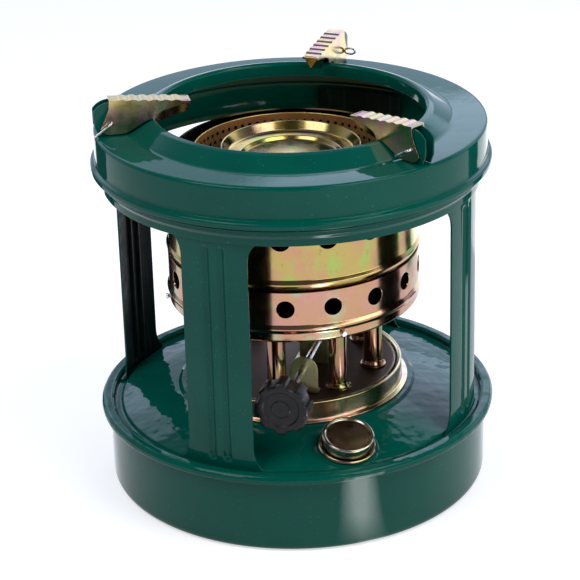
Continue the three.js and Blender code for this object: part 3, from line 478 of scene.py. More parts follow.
enamel = greenEnamel("greenEnamel", 0.12, 14)
enamelWavy = greenEnamel("greenEnamelWavy", 1.1, 17)
zinc = zincPlate("zincPlate", "c4b286", "cbaa9c", "9ea376")
# Painted shade on the tray floor under the drum
zincTray = zincPlate("zincTray", "c4b286", "cbaa9c", "9ea376", shadedMiddle=(56 * mm, 58.5 * mm))
# Painted shade on the upper shell's top lip, standing for the dark reflection of the hob's
# underside
zincUpper = zincPlate("zincUpper", "b09b5c", "b88c6a", "98ac5c", rough=0.15,
                      darkTop=(191 * mm, 193 * mm))
zincLower = zincPlate("zincLower", "b88f6c", "bc8c7c", "a4aa86", rough=0.15)
zincTube = zincPlate("zincTube", "987454", "a27072", "788050", rough=0.13)
zincPale = zincPlate("zincPale", "c4ac70", "c69c94", "a9b28e", rough=0.19, cloud=12)
zincGreen = zincPlate("zincGreen", "b2ba7c", "b8a58a", "9db178", rough=0.36)
zincOlive = zincPlate("zincOlive", "ad9450", "9c8468", "94984e", rough=0.16)
zincCap = zincPlate("zincCap", "bdb9a2", "b5aca2", "a8b090", rough=0.2)
# Inner sides of the drum shells: near-black zinc that is painted shade
zincInsideShade = zincPlate("zincInsideShade", "2a241b", "2c2420", "23231a", rough=0.35)
punched = punchedZinc()
cotton = cottonWick()

# Thin dull enamel on the inner sides of the legs, in dark streaked tones that are painted shade
enamelLegShade = mottled("shadedLegEnamel", {
    "tones": ("0a1a18", "1c2f2c"), "cloud": (3, 3, (1, 1, 0.12)), "window": (0.5, 0.72),
    "haze": (5, 3, 0.3, 0.5), "specular": 0.04, "grain": (4, 2, (1, 1, 0.2)),
    "relief": (0.4, 0.1)})
# Bright drawn steel: wire pins, shaft and rack, with fine lengthwise lines
steel = mottled("brightSteel", {
    "tones": ("e4e6e8", "b4b5b4"), "cloud": (4, 3), "window": (0.35, 0.7), "metallic": 1,
    "haze": (2, 2, 0.18, 0.36), "grain": (0.6, 3, (1, 1, 4)), "relief": (0.15, 0.02)})
# Turned brass: the collet behind the knob and the pinion
turnedBrass = mottled("brass", {
    "tones": ("e3b583", "a5764a"), "cloud": (2.6, 3), "window": (0.4, 0.7), "metallic": 1,
    "haze": (1.5, 2, 0.16, 0.34), "grain": (0.5, 2), "relief": (0.15, 0.02)})
# Moulded black plastic of the knob, with a fine grain
plastic = mottled("blackPlastic", {
    "tones": ("161618", "232227"), "cloud": (5, 4), "window": (0.45, 0.75),
    "haze": (3, 3, 0.22, 0.4), "specular": 0.22, "grain": (0.35, 2), "relief": (0.25, 0.02)})
# Nitrile rubber of the cap's seal
rubber = mottled("blackRubber", {
    "tones": ("17181a", "2a2a2a"), "cloud": (3, 3), "window": (0, 1),
    "haze": (1, 2, 0.7, 0.9), "grain": (0.5, 2), "relief": (0.3, 0.03)})
print("materials ready")


# Fuel tank: drawn pan, and the domed top with its rolled rim, channel and burner seat
tank = {"radius": 109, "corner": 5, "fold": 0.6, "sheet": 1, "flangeBottom": 45.5,
        "flangeRadius": 112.5}
panInside = tank["radius"] - tank["sheet"]
flangeTop = tank["flangeBottom"] + tank["sheet"]
panLine = rounded([
    (0, 0), (tank["radius"], 0, tank["corner"]),
    (tank["radius"], tank["flangeBottom"], tank["fold"]),
    (tank["flangeRadius"], tank["flangeBottom"]),
])
panLine += [(tank["flangeRadius"], flangeTop), (panInside, flangeTop),
            (panInside, tank["corner"]), (tank["radius"] - tank["corner"], tank["sheet"]),
            (0, tank["sheet"])]
showPiece("tankPan", turned(panLine), enamel, "tank_pan")

dome = {"start": (68.8, 53.7), "end": (101.5, 46.2), "power": 1.3, "steps": 14, "inset": 0.5,
        "seat": [(57, 54), (57, 55, 0.4), (67, 55, 0.8)],
        "rim": [(102.5, 44.3, 1.6), (106.7, 44.3, 1.4), (106.7, 47.2, 1.2), (108, 48.5, 1.4),
                (112.3, 48.5, 2), (113.8, 46.6, 2), (113.8, 43.5, 1.4), (109.3, 43.5)],
        "rimInside": [(109.3, 45.2), (107.7, 46.8), (107.7, 43.3), (101.5, 43.3)],
        "seatInside": (66.5, 54)}


def domeLine():
    line = []
    for i in range(dome["steps"] + 1):
        share = i / dome["steps"]
        (r0, z0), (r1, z1) = dome["start"], dome["end"]
        line.append((r0 + (r1 - r0) * share, z0 - (z0 - z1) * share ** dome["power"]))
    return line


topLine = rounded([*dome["seat"], (*dome["start"], 0.8), *domeLine()[1:-1],
                   (*dome["end"], 1), *dome["rim"]])
domeUnder = [(r - dome["inset"], z - tank["sheet"]) for r, z in reversed(domeLine())]
topBody = turned([*topLine, *dome["rimInside"], *domeUnder, dome["seatInside"]])

filler = {"azimuth": math.radians(-3), "reach": 87, "tilt": math.radians(14.5), "height": 51,
          "seat": [(0, -0.3), (17, -0.3), (19.2, -2.4, 2), (20.6, -3.4)], "seatSteps": 64}
fillerPlace = (Matrix.Translation(along(filler["azimuth"], filler["reach"], filler["height"]) * mm)
               @ Matrix.Rotation(filler["azimuth"], 4, "Z")
               @ Matrix.Rotation(filler["tilt"], 4, "X"))
seat = moved(turned(rounded(filler["seat"]), filler["seatSteps"], closed=False), fillerPlace)
showPiece("tankTop", merged(topBody, seat), enamelWavy, "tank_top")
print("tank ready")


# Filler neck with a beaded flange, and the screw cap with a rolled edge round its dish
neckLine = rounded([
    (9.8, -8), (11, -8), (11, -1.2, 0.3), (11, 0), (15.3, 0, 0.3), (16.2, 0.6, 0.5),
    (15.3, 2.1, 0.7), (14.3, 1.2, 0.6), (11, 1.2, 0.3), (11, 5.2, 0.2), (9.8, 5.2, 0.2),
], closed=True)
capLine = rounded([
    (0, 8.05), (12.2, 8.05, 1.2), (12.9, 8.75, 0.5), (13.8, 8.85, 0.6), (14.5, 8.1, 0.7),
    (14.3, 7.2, 0.5), (13.8, 6.6, 0.5), (13.75, 2.4, 0.2), (13.0, 2.4, 0.2), (13.0, 6.4, 0.4),
    (11.6, 7.2), (0, 7.2),
])
for name, line, steps, material, node in (("fillerNeck", neckLine, 72, zinc, "filler_neck"),
                                          ("fillerCap", capLine, 96, zincCap, "filler_cap")):
    showPiece(name, moved(turned(line, steps), fillerPlace), material, node)
keepNode("cap_gasket", rubber, 0.1)
print("filler ready")


# Legs: strips bent to the stand's radius, with two pressed grooves and a flanged foot. Rows
# are first height, step and count; the outer columns widen by shares toward foot and plate.
leg = {"count": 4, "first": math.radians(45), "radius": 104.2, "half": 19.4, "plateHalf": 26.5,
       "plateBottom": 180, "fillet": 12, "footHalf": 29, "footBottom": 44.6, "footTop": 45.6,
       "footReach": 105.9, "footBend": 1.2, "footFillet": 16, "bendTop": 48, "groove": 4.4,
       "grooveHalf": 2.4, "depth": 1.5, "low": 53, "high": 174.2, "sheet": 1, "bevel": 0.3,
       "rows": ((48.8, 0.8, 19), (64, 8, 13), (162, 0.9, 20), (180, 8, 3)),
       "columns": (10.5, 12.5, 16, 19.4), "fineHalf": 9, "fineStep": 0.5,
       "wideShares": (0.25, 0.5, 0.75, 1), "leastWide": 0.02, "middle": (0, 0, 120)}


def legHalf(height):
    def flare(share):
        return 1 - math.sqrt(1 - min(max(share, 0), 1) ** 2)
    above = (height - (leg["plateBottom"] - leg["fillet"])) / leg["fillet"]
    below = (leg["footBottom"] + leg["footFillet"] - height) / leg["footFillet"]
    return (leg["half"] + (leg["plateHalf"] - leg["half"]) * flare(above)
            + (leg["footHalf"] - leg["half"]) * flare(below))


def grooveDepth(offset, height):
    past = max(leg["low"] - height, height - leg["high"], 0)
    away = math.hypot(abs(offset) - leg["groove"], past) / leg["grooveHalf"]
    return leg["depth"] * math.cos(away * math.pi / 2) if away < 1 else 0


def legSheet():
    path = rounded([(leg["footReach"], leg["footTop"]),
                    (leg["radius"], leg["footTop"], leg["footBend"]),
                    (leg["radius"], leg["bendTop"])])
    for first, step, count in leg["rows"]:
        path += [(leg["radius"], first + i * step) for i in range(count)]
    fineSteps = round(2 * leg["fineHalf"] / leg["fineStep"])
    core = [-c for c in reversed(leg["columns"])]
    core += [i * leg["fineStep"] - leg["fineHalf"] for i in range(fineSteps + 1)]
    core += leg["columns"]
    columns = [(-leg["half"], -s) for s in reversed(leg["wideShares"])]
    columns += [(c, 0) for c in core] + [(leg["half"], s) for s in leg["wideShares"]]
    lastColumn, lastRow = len(columns) - 1, len(path) - 1
    plateLean = (leg["half"] + leg["plateHalf"]) / 2 / leg["radius"]
    bm = bmesh.new()
    bmesh.ops.create_grid(bm, x_segments=lastColumn, y_segments=lastRow, size=1)
    for vert in bm.verts:
        offset, share = columns[round((vert.co.x + 1) / 2 * lastColumn)]
        radius, height = path[round((vert.co.y + 1) / 2 * lastRow)]
        azimuth = offset / leg["radius"]
        wide = share * max(legHalf(height) - leg["half"], leg["leastWide"])
        lean = math.copysign(plateLean, share) if share else 0
        reach = radius - grooveDepth(offset, height)
        vert.co = Vector((reach * math.sin(azimuth) + wide * math.cos(lean),
                          wide * math.sin(lean) - reach * math.cos(azimuth), height)) * mm
    return bm


for number in range(leg["count"]):
    turnBy = Matrix.Rotation(leg["first"] + fullTurn * number / leg["count"], 4, "Z")
    showPiece(f"leg{number + 1}", moved(legSheet(), turnBy), enamel, f"leg_{number + 1}",
              centre=leg["middle"], sheet=leg["sheet"], bevel=leg["bevel"],
              angle=60, inside=enamelLegShade)
print("legs ready")


# Stand band with its step and ledge, and the hob ring with bead, edge, slope and rolled lip
bandLine = rounded([
    (105.05, 180, 0.4), (106.05, 180, 0.4), (106.05, 184, 1), (107.5, 186.2, 1),
    (107.5, 189.1, 0.4), (110.4, 189.2, 0.5), (110.4, 190.2, 0.5), (107.5, 190.2, 0.2),
    (107.5, 198, 0.4), (106.5, 198), (106.5, 186.6), (105.06, 184.4),
], closed=True)
showPiece("standBand", turned(bandLine), enamel, "stand_band")

hobSheet = 1
ringLine = rounded([
    (110.6, 190.5), (112, 191.0, 1.4), (112, 194.2, 1.8), (109.6, 195.3, 0.7), (109.3, 197, 0.8),
    (109.3, 213.8, 2.2), (90, 213.8, 5), (79.5, 220.3, 5), (76.6, 221.1, 1.4), (75, 219.6, 1.4),
    (75, 213),
])
showPiece("hobRing", turned(thickened(ringLine, hobSheet)), enamel, "hob_ring")
print("hob ready")


# Pot supports, each with a lug on the hob ring and a split pin. The channel's section lies in
# YZ with the pivot at its origin, and under and heel are shares of length and top.
support = {"azimuths": (20.2, 142.5, -99.4), "turns": (2.4, -5, 0), "pivotRadius": 100,
           "pivotHeight": 221.4, "droop": math.radians(5), "length": 43.2, "top": 12.6,
           "width": 9.6, "sheet": 0.9, "bevel": 0.3, "rear": 1.7, "rearTop": (7.4, 0.6),
           "ear": 6.8, "earSteps": 26, "earStart": 0.001, "earOpen": 0.35, "earCorner": 1.2,
           "ribs": 6, "pitch": 6, "ribStart": 3.5, "rise": 0.55, "ribGain": 1.25,
           "ribPhase": 1.35, "topSteps": 150, "restHeight": 221.3,
           "rests": ((75, 0.4), (79.5, 1)), "heel": (0.19, -0.48, 2),
           "under": ((1, 0.89, 0.5), (0.86, 0.79, 3), (0.73, 0.65, 3), (0.64, 0.52, 3),
                     (0.59, 0.36, 3)),
           "middle": (0, 15, 4)}
keel = {"start": 26.2, "front": 6.6, "rear": 13.6, "inset": 0.5, "drop": 0.3, "setBack": 0.4,
        "rows": 12, "middle": (0, 34, 13)}
lug = {"arc": 11.4, "steps": 22, "outer": 9.2, "inner": 6, "base": -7.3, "baseOuter": 7,
       "waist": 2, "width": 7.2, "sheet": 1, "bevel": 0.25, "middle": (0, 0, 2)}
pin = {"lengths": (12, 12, 13), "angles": (-30, 215, 217), "sides": (-1, 1, 1), "reach": 6,
       "radius": 0.828, "shaftShares": (-1, -0.4, 0.4, 0.9), "bend": ((0.5, 0.9), (0.2, 4)),
       "end": (-0.1, -1), "eyeRadius": 0.63, "eyeWide": 3.23, "eyeHigh": 1.7, "eyeSteps": 10,
       "eyeOverlap": 0.9}
seamDigits = 4


def arc(radius, start, end, steps):
    angles = [start + (end - start) * i / steps for i in range(steps + 1)]
    return [(radius * math.cos(a), radius * math.sin(a)) for a in angles]


def supportTopLine():
    line = []
    first, steps = -support["rear"], support["topSteps"]
    for i in range(steps + 1):
        y = first + (support["length"] - first) * i / steps
        share = (y - support["ribStart"]) / support["pitch"]
        lift = 0
        if 0 <= share < support["ribs"]:
            wave = support["ribGain"] * math.sin((share % 1) * support["ribPhase"] * math.pi)
            lift = support["rise"] * min(max(wave, 0), 1)
        line.append((y, support["top"] + lift))
    return line


def supportUnderLine():
    length, top, droop = support["length"], support["top"], support["droop"]
    points = [(length * s, top * h, corner) for s, h, corner in support["under"]]
    height = support["restHeight"] - support["pivotHeight"]
    for radius, corner in support["rests"]:
        reach = support["pivotRadius"] - radius
        points.append((reach * math.cos(droop) - height * math.sin(droop),
                       height * math.cos(droop) + reach * math.sin(droop), corner))
    share, drop, corner = support["heel"]
    return points + [(length * share, top * drop, corner)]


def bridgedChannel(loop, seamPoints, width):
    bm = flat(loop)
    bmesh.ops.translate(bm, verts=bm.verts, vec=(-width / 2 * mm, 0, 0))
    copy = bmesh.ops.duplicate(bm, geom=bm.verts[:] + bm.edges[:] + bm.faces[:])["geom"]
    bmesh.ops.translate(bm, verts=vertsOf(copy), vec=(width * mm, 0, 0))
    keys = {(round(y, seamDigits), round(z, seamDigits)) for y, z in seamPoints}
    seam = [e for e in bm.edges
            if all((round(v.co.y / mm, seamDigits), round(v.co.z / mm, seamDigits)) in keys
                   for v in e.verts)]
    bmesh.ops.bridge_loops(bm, edges=seam)
    return bm


def supportBody():
    rear = -support["rear"]
    earEnd = support["earOpen"] - math.pi - math.asin(rear / support["ear"])
    ear = arc(support["ear"], support["earStart"] - math.pi / 2, earEnd, support["earSteps"])
    top = supportTopLine()
    outline = [(*p, 0) for p in ear[:-1]]
    outline += [(*ear[-1], support["earCorner"]), (rear, *support["rearTop"])]
    outline += [(*p, 0) for p in top] + supportUnderLine()
    bm = bridgedChannel(rounded(outline, closed=True, steps=4), top, support["width"])
    return facing(bm, support["middle"])


def keelBody():
    half = support["width"] / 2 - keel["inset"]
    under = support["top"] - keel["drop"]
    tip = support["length"] - keel["setBack"]
    bm = bmesh.new()
    bmesh.ops.create_grid(bm, x_segments=2, y_segments=keel["rows"], size=1)
    for vert in bm.verts:
        share = (vert.co.y + 1) / 2
        side = round(vert.co.x)
        depth = keel["front"] + (keel["rear"] - keel["front"]) * (1 - share)
        y = keel["start"] + (tip - keel["start"]) * share
        vert.co = Vector((side * half, y, under - depth * (1 - abs(side)))) * mm
    bm.faces.new([v for v in bm.verts if abs(v.co.y - tip * mm) < leastEdge])
    return facing(bm, keel["middle"])


def splitPin(angle, length, side):
    far = side * pin["reach"]
    y, z = math.cos(math.radians(angle)), math.sin(math.radians(angle))
    endOut, endBack = pin["end"]
    line = [(far * share, 0, 0) for share in pin["shaftShares"]]
    line += [(far + side * out, y * down, z * down)
             for out, down in (*pin["bend"], (endOut, length + endBack))]
    wide, high, steps = pin["eyeWide"], pin["eyeHigh"], pin["eyeSteps"]
    middle = -side * (pin["reach"] + wide - pin["eyeOverlap"])
    eye = [(middle + wide * math.cos(a), 0, high * math.sin(a))
           for a in (fullTurn * i / steps for i in range(steps))]
    return merged(wire(line, pin["radius"]), wire(eye, pin["eyeRadius"], closed=True))


lugArc = arc(lug["arc"], math.acos(lug["inner"] / lug["arc"]),
             math.acos(-lug["outer"] / lug["arc"]), lug["steps"])
lugLoop = [(lug["inner"], lug["base"]), *lugArc, (-lug["outer"], -lug["waist"]),
           (-lug["baseOuter"], lug["base"])]
for number, (azimuth, turn) in enumerate(zip(support["azimuths"], support["turns"])):
    ahead = math.radians(azimuth)
    pivot = along(ahead, support["pivotRadius"], support["pivotHeight"])
    place = Matrix.Translation(pivot * mm) @ Matrix.Rotation(ahead + math.radians(turn), 4, "Z")
    drooped = place @ Matrix.Rotation(-support["droop"], 4, "X")
    showPiece(f"potSupport{number + 1}", moved(merged(supportBody(), keelBody()), drooped),
              zincPale, f"pot_support_{number + 1}", sheet=support["sheet"],
              bevel=support["bevel"], faced=True)
    lugBody = facing(bridgedChannel(lugLoop, lugLoop[:2], lug["width"]), lug["middle"])
    showPiece(f"supportLug{number + 1}", moved(lugBody, place), enamel,
              f"support_lug_{number + 1}", sheet=lug["sheet"],
              bevel=lug["bevel"], faced=True)
    pinBody = splitPin(pin["angles"][number], pin["lengths"][number], pin["sides"][number])
    showPiece(f"splitPin{number + 1}", moved(pinBody, place), steel, f"split_pin_{number + 1}")
print("pot supports ready")


# Burner tray: flange, wall, rolled rim and floor
trayLine = rounded([
    (60.2, 55.3), (64.5, 55.3, 0.25), (64.5, 56.1, 0.3), (61.2, 56.1, 0.8), (61, 65.5, 0.8),
    (61.2, 66.6, 0.5), (60, 67.1, 0.8), (58.9, 66.4, 0.7), (57.5, 66, 1), (0, 66), (0, 65.2),
    (60.2, 65.2),
])
showPiece("burnerTray", turned(trayLine), zincTray, "burner_tray")

# Wick tubes with flared collars, and the wicks in them
tube = {"circle": 45.6, "first": math.radians(10), "count": 8, "radius": 5.3, "wall": 0.6,
        "bottom": 44, "top": 113, "lip": 0.2,
        "collar": [(5.3, 66.3), (7.4, 66.3, 0.2), (7.4, 67, 0.3), (6.2, 67.4, 0.8),
                   (5.4, 69.6, 1.2)]}
wick = {"radius": 4, "bottom": 3, "top": 116, "corner": 0.6, "crown": 1.4, "steps": 32}
tubeInside = tube["radius"] - tube["wall"]
tubeLine = rounded([
    (tubeInside, tube["bottom"]), (tube["radius"], tube["bottom"]), *tube["collar"],
    (tube["radius"], tube["top"], tube["lip"]), (tubeInside, tube["top"], tube["lip"]),
])
wickLine = rounded([(0, wick["bottom"]), (wick["radius"], wick["bottom"], wick["corner"]),
                    (wick["radius"], wick["top"], wick["crown"]), (0, wick["top"])])
for number in range(tube["count"]):
    azimuth = tube["first"] + fullTurn * number / tube["count"]
    place = Matrix.Translation(along(azimuth, tube["circle"]) * mm)
    showPiece(f"wickTube{number + 1}", moved(turned(tubeLine, smallSteps), place), zincTube,
              f"wick_tube_{number + 1}")
    showPiece(f"wick{number + 1}", moved(turned(wickLine, wick["steps"]), place), cotton,
              f"wick_{number + 1}")
print("burner tray and wicks ready")


# Wick control: the shaft's frame has its Z along the shaft, from the knob to the rack
control = {"azimuth": math.radians(35.3), "height": 81.5, "offset": 15.5}
shaft = {"radius": 2, "tipRadius": 1.5, "start": -90.7, "tipStart": 8.4, "end": 9}
controlPlace = Matrix.Rotation(-control["azimuth"], 4, "Z")
shaftPlace = (controlPlace @ shift(control["offset"], 0, control["height"])
              @ Matrix.Rotation(-math.pi / 2, 4, "X"))
shaftLine = [(0, shaft["start"]), (shaft["radius"], shaft["start"]),
             (shaft["radius"], shaft["tipStart"]), (shaft["tipRadius"], shaft["end"]),
             (0, shaft["end"])]
showPiece("controlShaft", moved(turned(shaftLine, smallSteps), shaftPlace), steel,
          "control_shaft")

# Knob: the front outline is measured from its face and the rear one from its back
knob = {"face": -97, "back": -85, "steps": 192, "radius": 15.5, "lobes": 8, "flute": 1.6,
        "fluteWidth": 0.62, "fluteEdge": 0.2, "fluteStart": 12, "fluteFade": 2.5,
        "front": [(0, 0.3), (4.4, 0.3, 0.4), (5, 0, 0.3), (5.2, 0.8, 0.3), (9.8, 0.8, 0.5),
                  (10.4, 0, 0.5), (14.2, 0, 0.8), (15.3, 0.9, 0.8)],
        "rear": [(15.5, -1, 0.6), (14.6, 0, 0.6), (8.5, 0, 0.8), (7.2, 0.4, 0.4), (5.3, 0.4),
                 (5.3, -6), (0, -6)]}
knobLine = [(r, knob["face"] + z, *corner) for r, z, *corner in knob["front"]]
knobLine += [(r, knob["back"] + z, *corner) for r, z, *corner in knob["rear"]]
knobBody = turned(rounded(knobLine), knob["steps"])
for vert in knobBody.verts:
    radius = math.hypot(vert.co.x, vert.co.y) / mm
    if radius > knob["fluteStart"]:
        share = (math.atan2(vert.co.y, vert.co.x) / fullTurn * knob["lobes"]) % 1
        dip = (knob["fluteWidth"] - 2 * abs(share - 0.5)) / knob["fluteEdge"]
        dip = min(max(dip, 0), 1)
        dip = dip * dip * (3 - 2 * dip)
        fade = min((radius - knob["fluteStart"]) / knob["fluteFade"], 1)
        scale = 1 - dip * fade * knob["flute"] / knob["radius"]
        vert.co.x, vert.co.y = vert.co.x * scale, vert.co.y * scale
showPiece("controlKnob", moved(knobBody, shaftPlace), plastic, "control_knob")

# Sleeve: a brass tube behind the knob, with a groove round it and a slot in its end
sleeve = {"outer": 5, "inner": 2.3, "start": -90.7, "end": -76, "slot": 2.2, "slotDepth": 6,
          "groove": [(5, -82.4, 0.3), (4.6, -82, 0.3), (4.6, -81.2, 0.3), (5, -80.8, 0.3)]}
sleeveLine = rounded([
    (sleeve["inner"], sleeve["start"]), (sleeve["outer"], sleeve["start"]), *sleeve["groove"],
    (sleeve["outer"], sleeve["end"], 0.7), (sleeve["inner"], sleeve["end"], 0.3),
], closed=True)
sleeveBody = turned(sleeveLine, smallSteps)
slotHalf = sleeve["slot"] / 2 * mm
slotFloor = (sleeve["end"] - sleeve["slotDepth"]) * mm
for point, normal in (((-slotHalf, 0, 0), (1, 0, 0)), ((slotHalf, 0, 0), (1, 0, 0)),
                      ((0, 0, slotFloor), (0, 0, 1))):
    geometry = sleeveBody.verts[:] + sleeveBody.edges[:] + sleeveBody.faces[:]
    bmesh.ops.bisect_plane(sleeveBody, geom=geometry, plane_co=point, plane_no=normal)
slotted = [f for f in sleeveBody.faces
           if abs(f.calc_center_median().x) < slotHalf and f.calc_center_median().z > slotFloor]
bmesh.ops.delete(sleeveBody, geom=slotted, context="FACES")
bmesh.ops.holes_fill(sleeveBody, edges=sleeveBody.edges[:], sides=0)
showPiece("knobSleeve", moved(sleeveBody, shaftPlace), turnedBrass, "knob_sleeve")

# Bearing plate: an arch with a bent foot on the tray
plate = {"reach": 43.5, "width": 16, "height": 22, "foot": 6, "bottom": 66.3, "sheet": 1,
         "steps": 28, "bevel": 0.25}
half = plate["width"] / 2
archLoop = [(-half, 0), (half, 0)]
archLoop += [(x, plate["height"] - half + z) for x, z in arc(half, 0, math.pi, plate["steps"])]
footLoop = [(-half, 0), (half, 0), (half, plate["foot"]), (-half, plate["foot"])]
plateBody = merged(extrude(flat(archLoop, "XZ"), (0, plate["sheet"], 0)),
                   extrude(flat(footLoop, "XY"), (0, 0, plate["sheet"])))
platePlace = controlPlace @ shift(control["offset"], -plate["reach"] - plate["sheet"] / 2,
                                  plate["bottom"])
showPiece("shaftBearingPlate", moved(plateBody, platePlace), zincGreen, "shaft_bearing_plate",
          bevel=plate["bevel"])
for node, material, bevel in (
        ("wick_carrier", steel, 0.1), ("rack_rod", steel, 0.12), ("pinion", turnedBrass, 0.12),
        ("rack_guide", zincGreen, 0.2), ("shaft_clip", steel, 0.1), ("gallery_plate", zinc, 0.1)):
    keepNode(node, material, bevel)
print("wick control ready")


# Burner drum: two shells, each with a row of air holes between the outlines below and above
drum = {"sheet": 0.8, "bevel": 0.18, "holes": 17, "cells": 8, "bandWeld": 0.01 * mm,
        "seamWeld": 0.02 * mm, "rimShare": 0.4995}
shells = (
    {"name": "drumLowerShell", "node": "drum_lower_shell", "material": zincLower,
     "radius": 71.4, "low": 121, "high": 136.2, "holeRadius": 5, "holeHeight": 128.6,
     "azimuth": math.radians(-3.9), "middle": (0, 0, 125),
     "below": [(55.2, 108.3), (70, 108.3, 1.8), (71.4, 110, 1), (71.4, 114.2, 1.6),
               (72.7, 116.7, 1.6), (71.4, 119.2, 1.6), (71.4, 121)],
     "above": [(71.4, 136.2), (71.4, 138.3)]},
    {"name": "drumUpperShell", "node": "drum_upper_shell", "material": zincUpper,
     "radius": 70.8, "low": 159, "high": 177.4, "holeRadius": 5.8, "holeHeight": 168.2,
     "azimuth": math.radians(-5.5), "middle": (0, 0, 165),
     "below": [(70, 134.3), (70, 138.6, 0.6), (71.2, 140.6, 0.8), (72.2, 143, 1.4),
               (70.8, 145.4, 1.6), (70.8, 159)],
     "above": [(70.8, 177.4), (70.8, 192.4, 3), (66.6, 196)]},
)


def holedBand(shell):
    low, high, radius = shell["low"], shell["high"], shell["radius"]
    width, height, middle = fullTurn / drum["holes"] * radius, high - low, (low + high) / 2
    bm = bmesh.new()
    bmesh.ops.create_grid(bm, x_segments=drum["cells"], y_segments=drum["cells"], size=0.5,
                          matrix=Matrix.Diagonal((width, height, 1, 1)))
    bmesh.ops.delete(bm, geom=bm.faces[:], context="FACES_ONLY")
    inner = [e for e in bm.edges if not all(
        max(abs(v.co.x) / width, abs(v.co.y) / height) > drum["rimShare"] for v in e.verts)]
    bmesh.ops.delete(bm, geom=inner, context="EDGES")
    rim = bm.edges[:]
    circle = bmesh.ops.create_circle(bm, segments=drum["cells"] * 4,
                                     radius=shell["holeRadius"])["verts"]
    bmesh.ops.translate(bm, verts=circle, vec=(0, shell["holeHeight"] - middle, 0))
    hole = [e for e in bm.edges if e not in rim]
    ringFaces = bmesh.ops.bridge_loops(bm, edges=rim + hole)
    spokes = [e for e in ringFaces["edges"] if e not in rim and e not in hole]
    bmesh.ops.subdivide_edges(bm, edges=spokes, cuts=2, use_grid_fill=True)
    firstVerts, firstEdges, firstFaces = bm.verts[:], bm.edges[:], bm.faces[:]
    for number in range(1, drum["holes"]):
        copy = bmesh.ops.duplicate(bm, geom=firstVerts + firstEdges + firstFaces)["geom"]
        bmesh.ops.translate(bm, verts=vertsOf(copy), vec=(width * number, 0, 0))
    for vert in bm.verts:
        turn = shell["azimuth"] + vert.co.x / radius
        vert.co = along(turn, radius, vert.co.y + middle) * mm
    bmesh.ops.remove_doubles(bm, verts=bm.verts, dist=drum["bandWeld"])
    return bm


for shell in shells:
    shellBody = holedBand(shell)
    for line in (shell["below"], shell["above"]):
        merged(shellBody, turned(rounded(line), drum["holes"] * drum["cells"], closed=False,
                                 start=shell["azimuth"] - math.pi / drum["holes"]))
    bmesh.ops.remove_doubles(shellBody, verts=shellBody.verts, dist=drum["seamWeld"])
    showPiece(shell["name"], shellBody, shell["material"], shell["node"],
              centre=shell["middle"], sheet=drum["sheet"], bevel=drum["bevel"], angle=60,
              inside=zincInsideShade)
print("drum shells ready")


# Flame tubes, the stepped spreader and the cross pins
flame = {"sheet": 0.8, "bottom": 108.3, "lip": 0.3}
for name, node, radius, top in (("flameTubeOuter", "flame_tube_outer", 54.6, 197.5),
                                ("flameTubeInner", "flame_tube_inner", 38.2, 190)):
    inside = radius - flame["sheet"]
    wallLine = rounded([(inside, flame["bottom"]), (radius, flame["bottom"]),
                        (radius, top, flame["lip"]), (inside, top, flame["lip"])], closed=True)
    showPiece(name, turned(wallLine), punched, node)
spreaderLine = rounded([
    (39.4, 186.3), (39.4, 198.3, 1.2), (38.2, 198.2, 0.8), (35.6, 193.8, 1), (34.4, 193.3, 0.8),
    (28.6, 192.6, 1), (27, 190.7, 0.8), (4.6, 190.7, 0.6), (4.2, 190.1),
])
showPiece("flameSpreader", turned(thickened(spreaderLine, flame["sheet"])), zincOlive,
          "flame_spreader")

crossPin = {"azimuths": (0.5, 122.5, -102.5), "height": 112, "steps": 24,
            "line": [(0, 35), (1.1, 35, 0.2), (1.1, 72.7), (1.8, 72.7, 0.3), (1.44, 73.7, 0.4),
                     (0, 73.7)]}
for number, azimuth in enumerate(crossPin["azimuths"]):
    place = (shift(0, 0, crossPin["height"]) @ Matrix.Rotation(math.radians(azimuth), 4, "Z")
             @ Matrix.Rotation(math.pi / 2, 4, "X"))
    pinBody = turned(rounded(crossPin["line"]), crossPin["steps"])
    showPiece(f"drumPin{number + 1}", moved(pinBody, place), steel, f"drum_pin_{number + 1}")
print("burner ready")


# Camera at the photograph's place, aimed along forward, with the horizon tilted by roll
view = {"place": (-405.95, -1066.98, 613.07), "forward": (0.32334, 0.85569, -0.40402),
        "level": (0.93544, -0.35347, 0), "roll": math.radians(-1.541), "lens": 135.03,
        "sensor": 36, "near": 0.05, "far": 40}
forward = Vector(view["forward"]).normalized()
level = Vector(view["level"])
upright = level.cross(forward)
axisX = level * math.cos(view["roll"]) + upright * math.sin(view["roll"])
axisY = upright * math.cos(view["roll"]) - level * math.sin(view["roll"])
camera = bpy.data.cameras.new("camera")
camera.lens = view["lens"]
camera.sensor_width = view["sensor"]
camera.clip_start = view["near"]
camera.clip_end = view["far"]
cameraObject = bpy.data.objects.new("camera", camera)
bpy.context.scene.collection.objects.link(cameraObject)
cameraTurn = Matrix((axisX, axisY, -forward)).transposed().to_4x4()
cameraObject.matrix_world = shift(*view["place"]) @ cameraTurn
bpy.context.scene.camera = cameraObject


# Pale floor: white to the camera and in mirrors, with the stove's soft shadow. Only mirrors
# see its glowing strip in front of the stove, the glowing part behind and a dark wedge on each
# side, painted highlights and painted dark reflections in the stove's glossy surfaces. An edge is
# the azimuth that it faces and the distances in metres where it fades in, and a wedge is two
# azimuths and the distance where it starts.
ground = {"half": 8, "tone": "dcdce0", "rough": 0.9, "glow": 0.55, "darkReflectionTone": "2c3436",
          "strip": ((98.1, -0.036, -0.02), (-67.1, 0.031, 0.047), (15.5, 0.1, 0.13),
                    (-164.5, -0.25, -0.2, 14)),
          "bright": (107, 192.9, 0.3, 0.9), "dim": ((93.6, 107, 0.34), (192.9, 214.7, 0.32)),
          "sideFade": 0.008, "nearFade": 0.02}


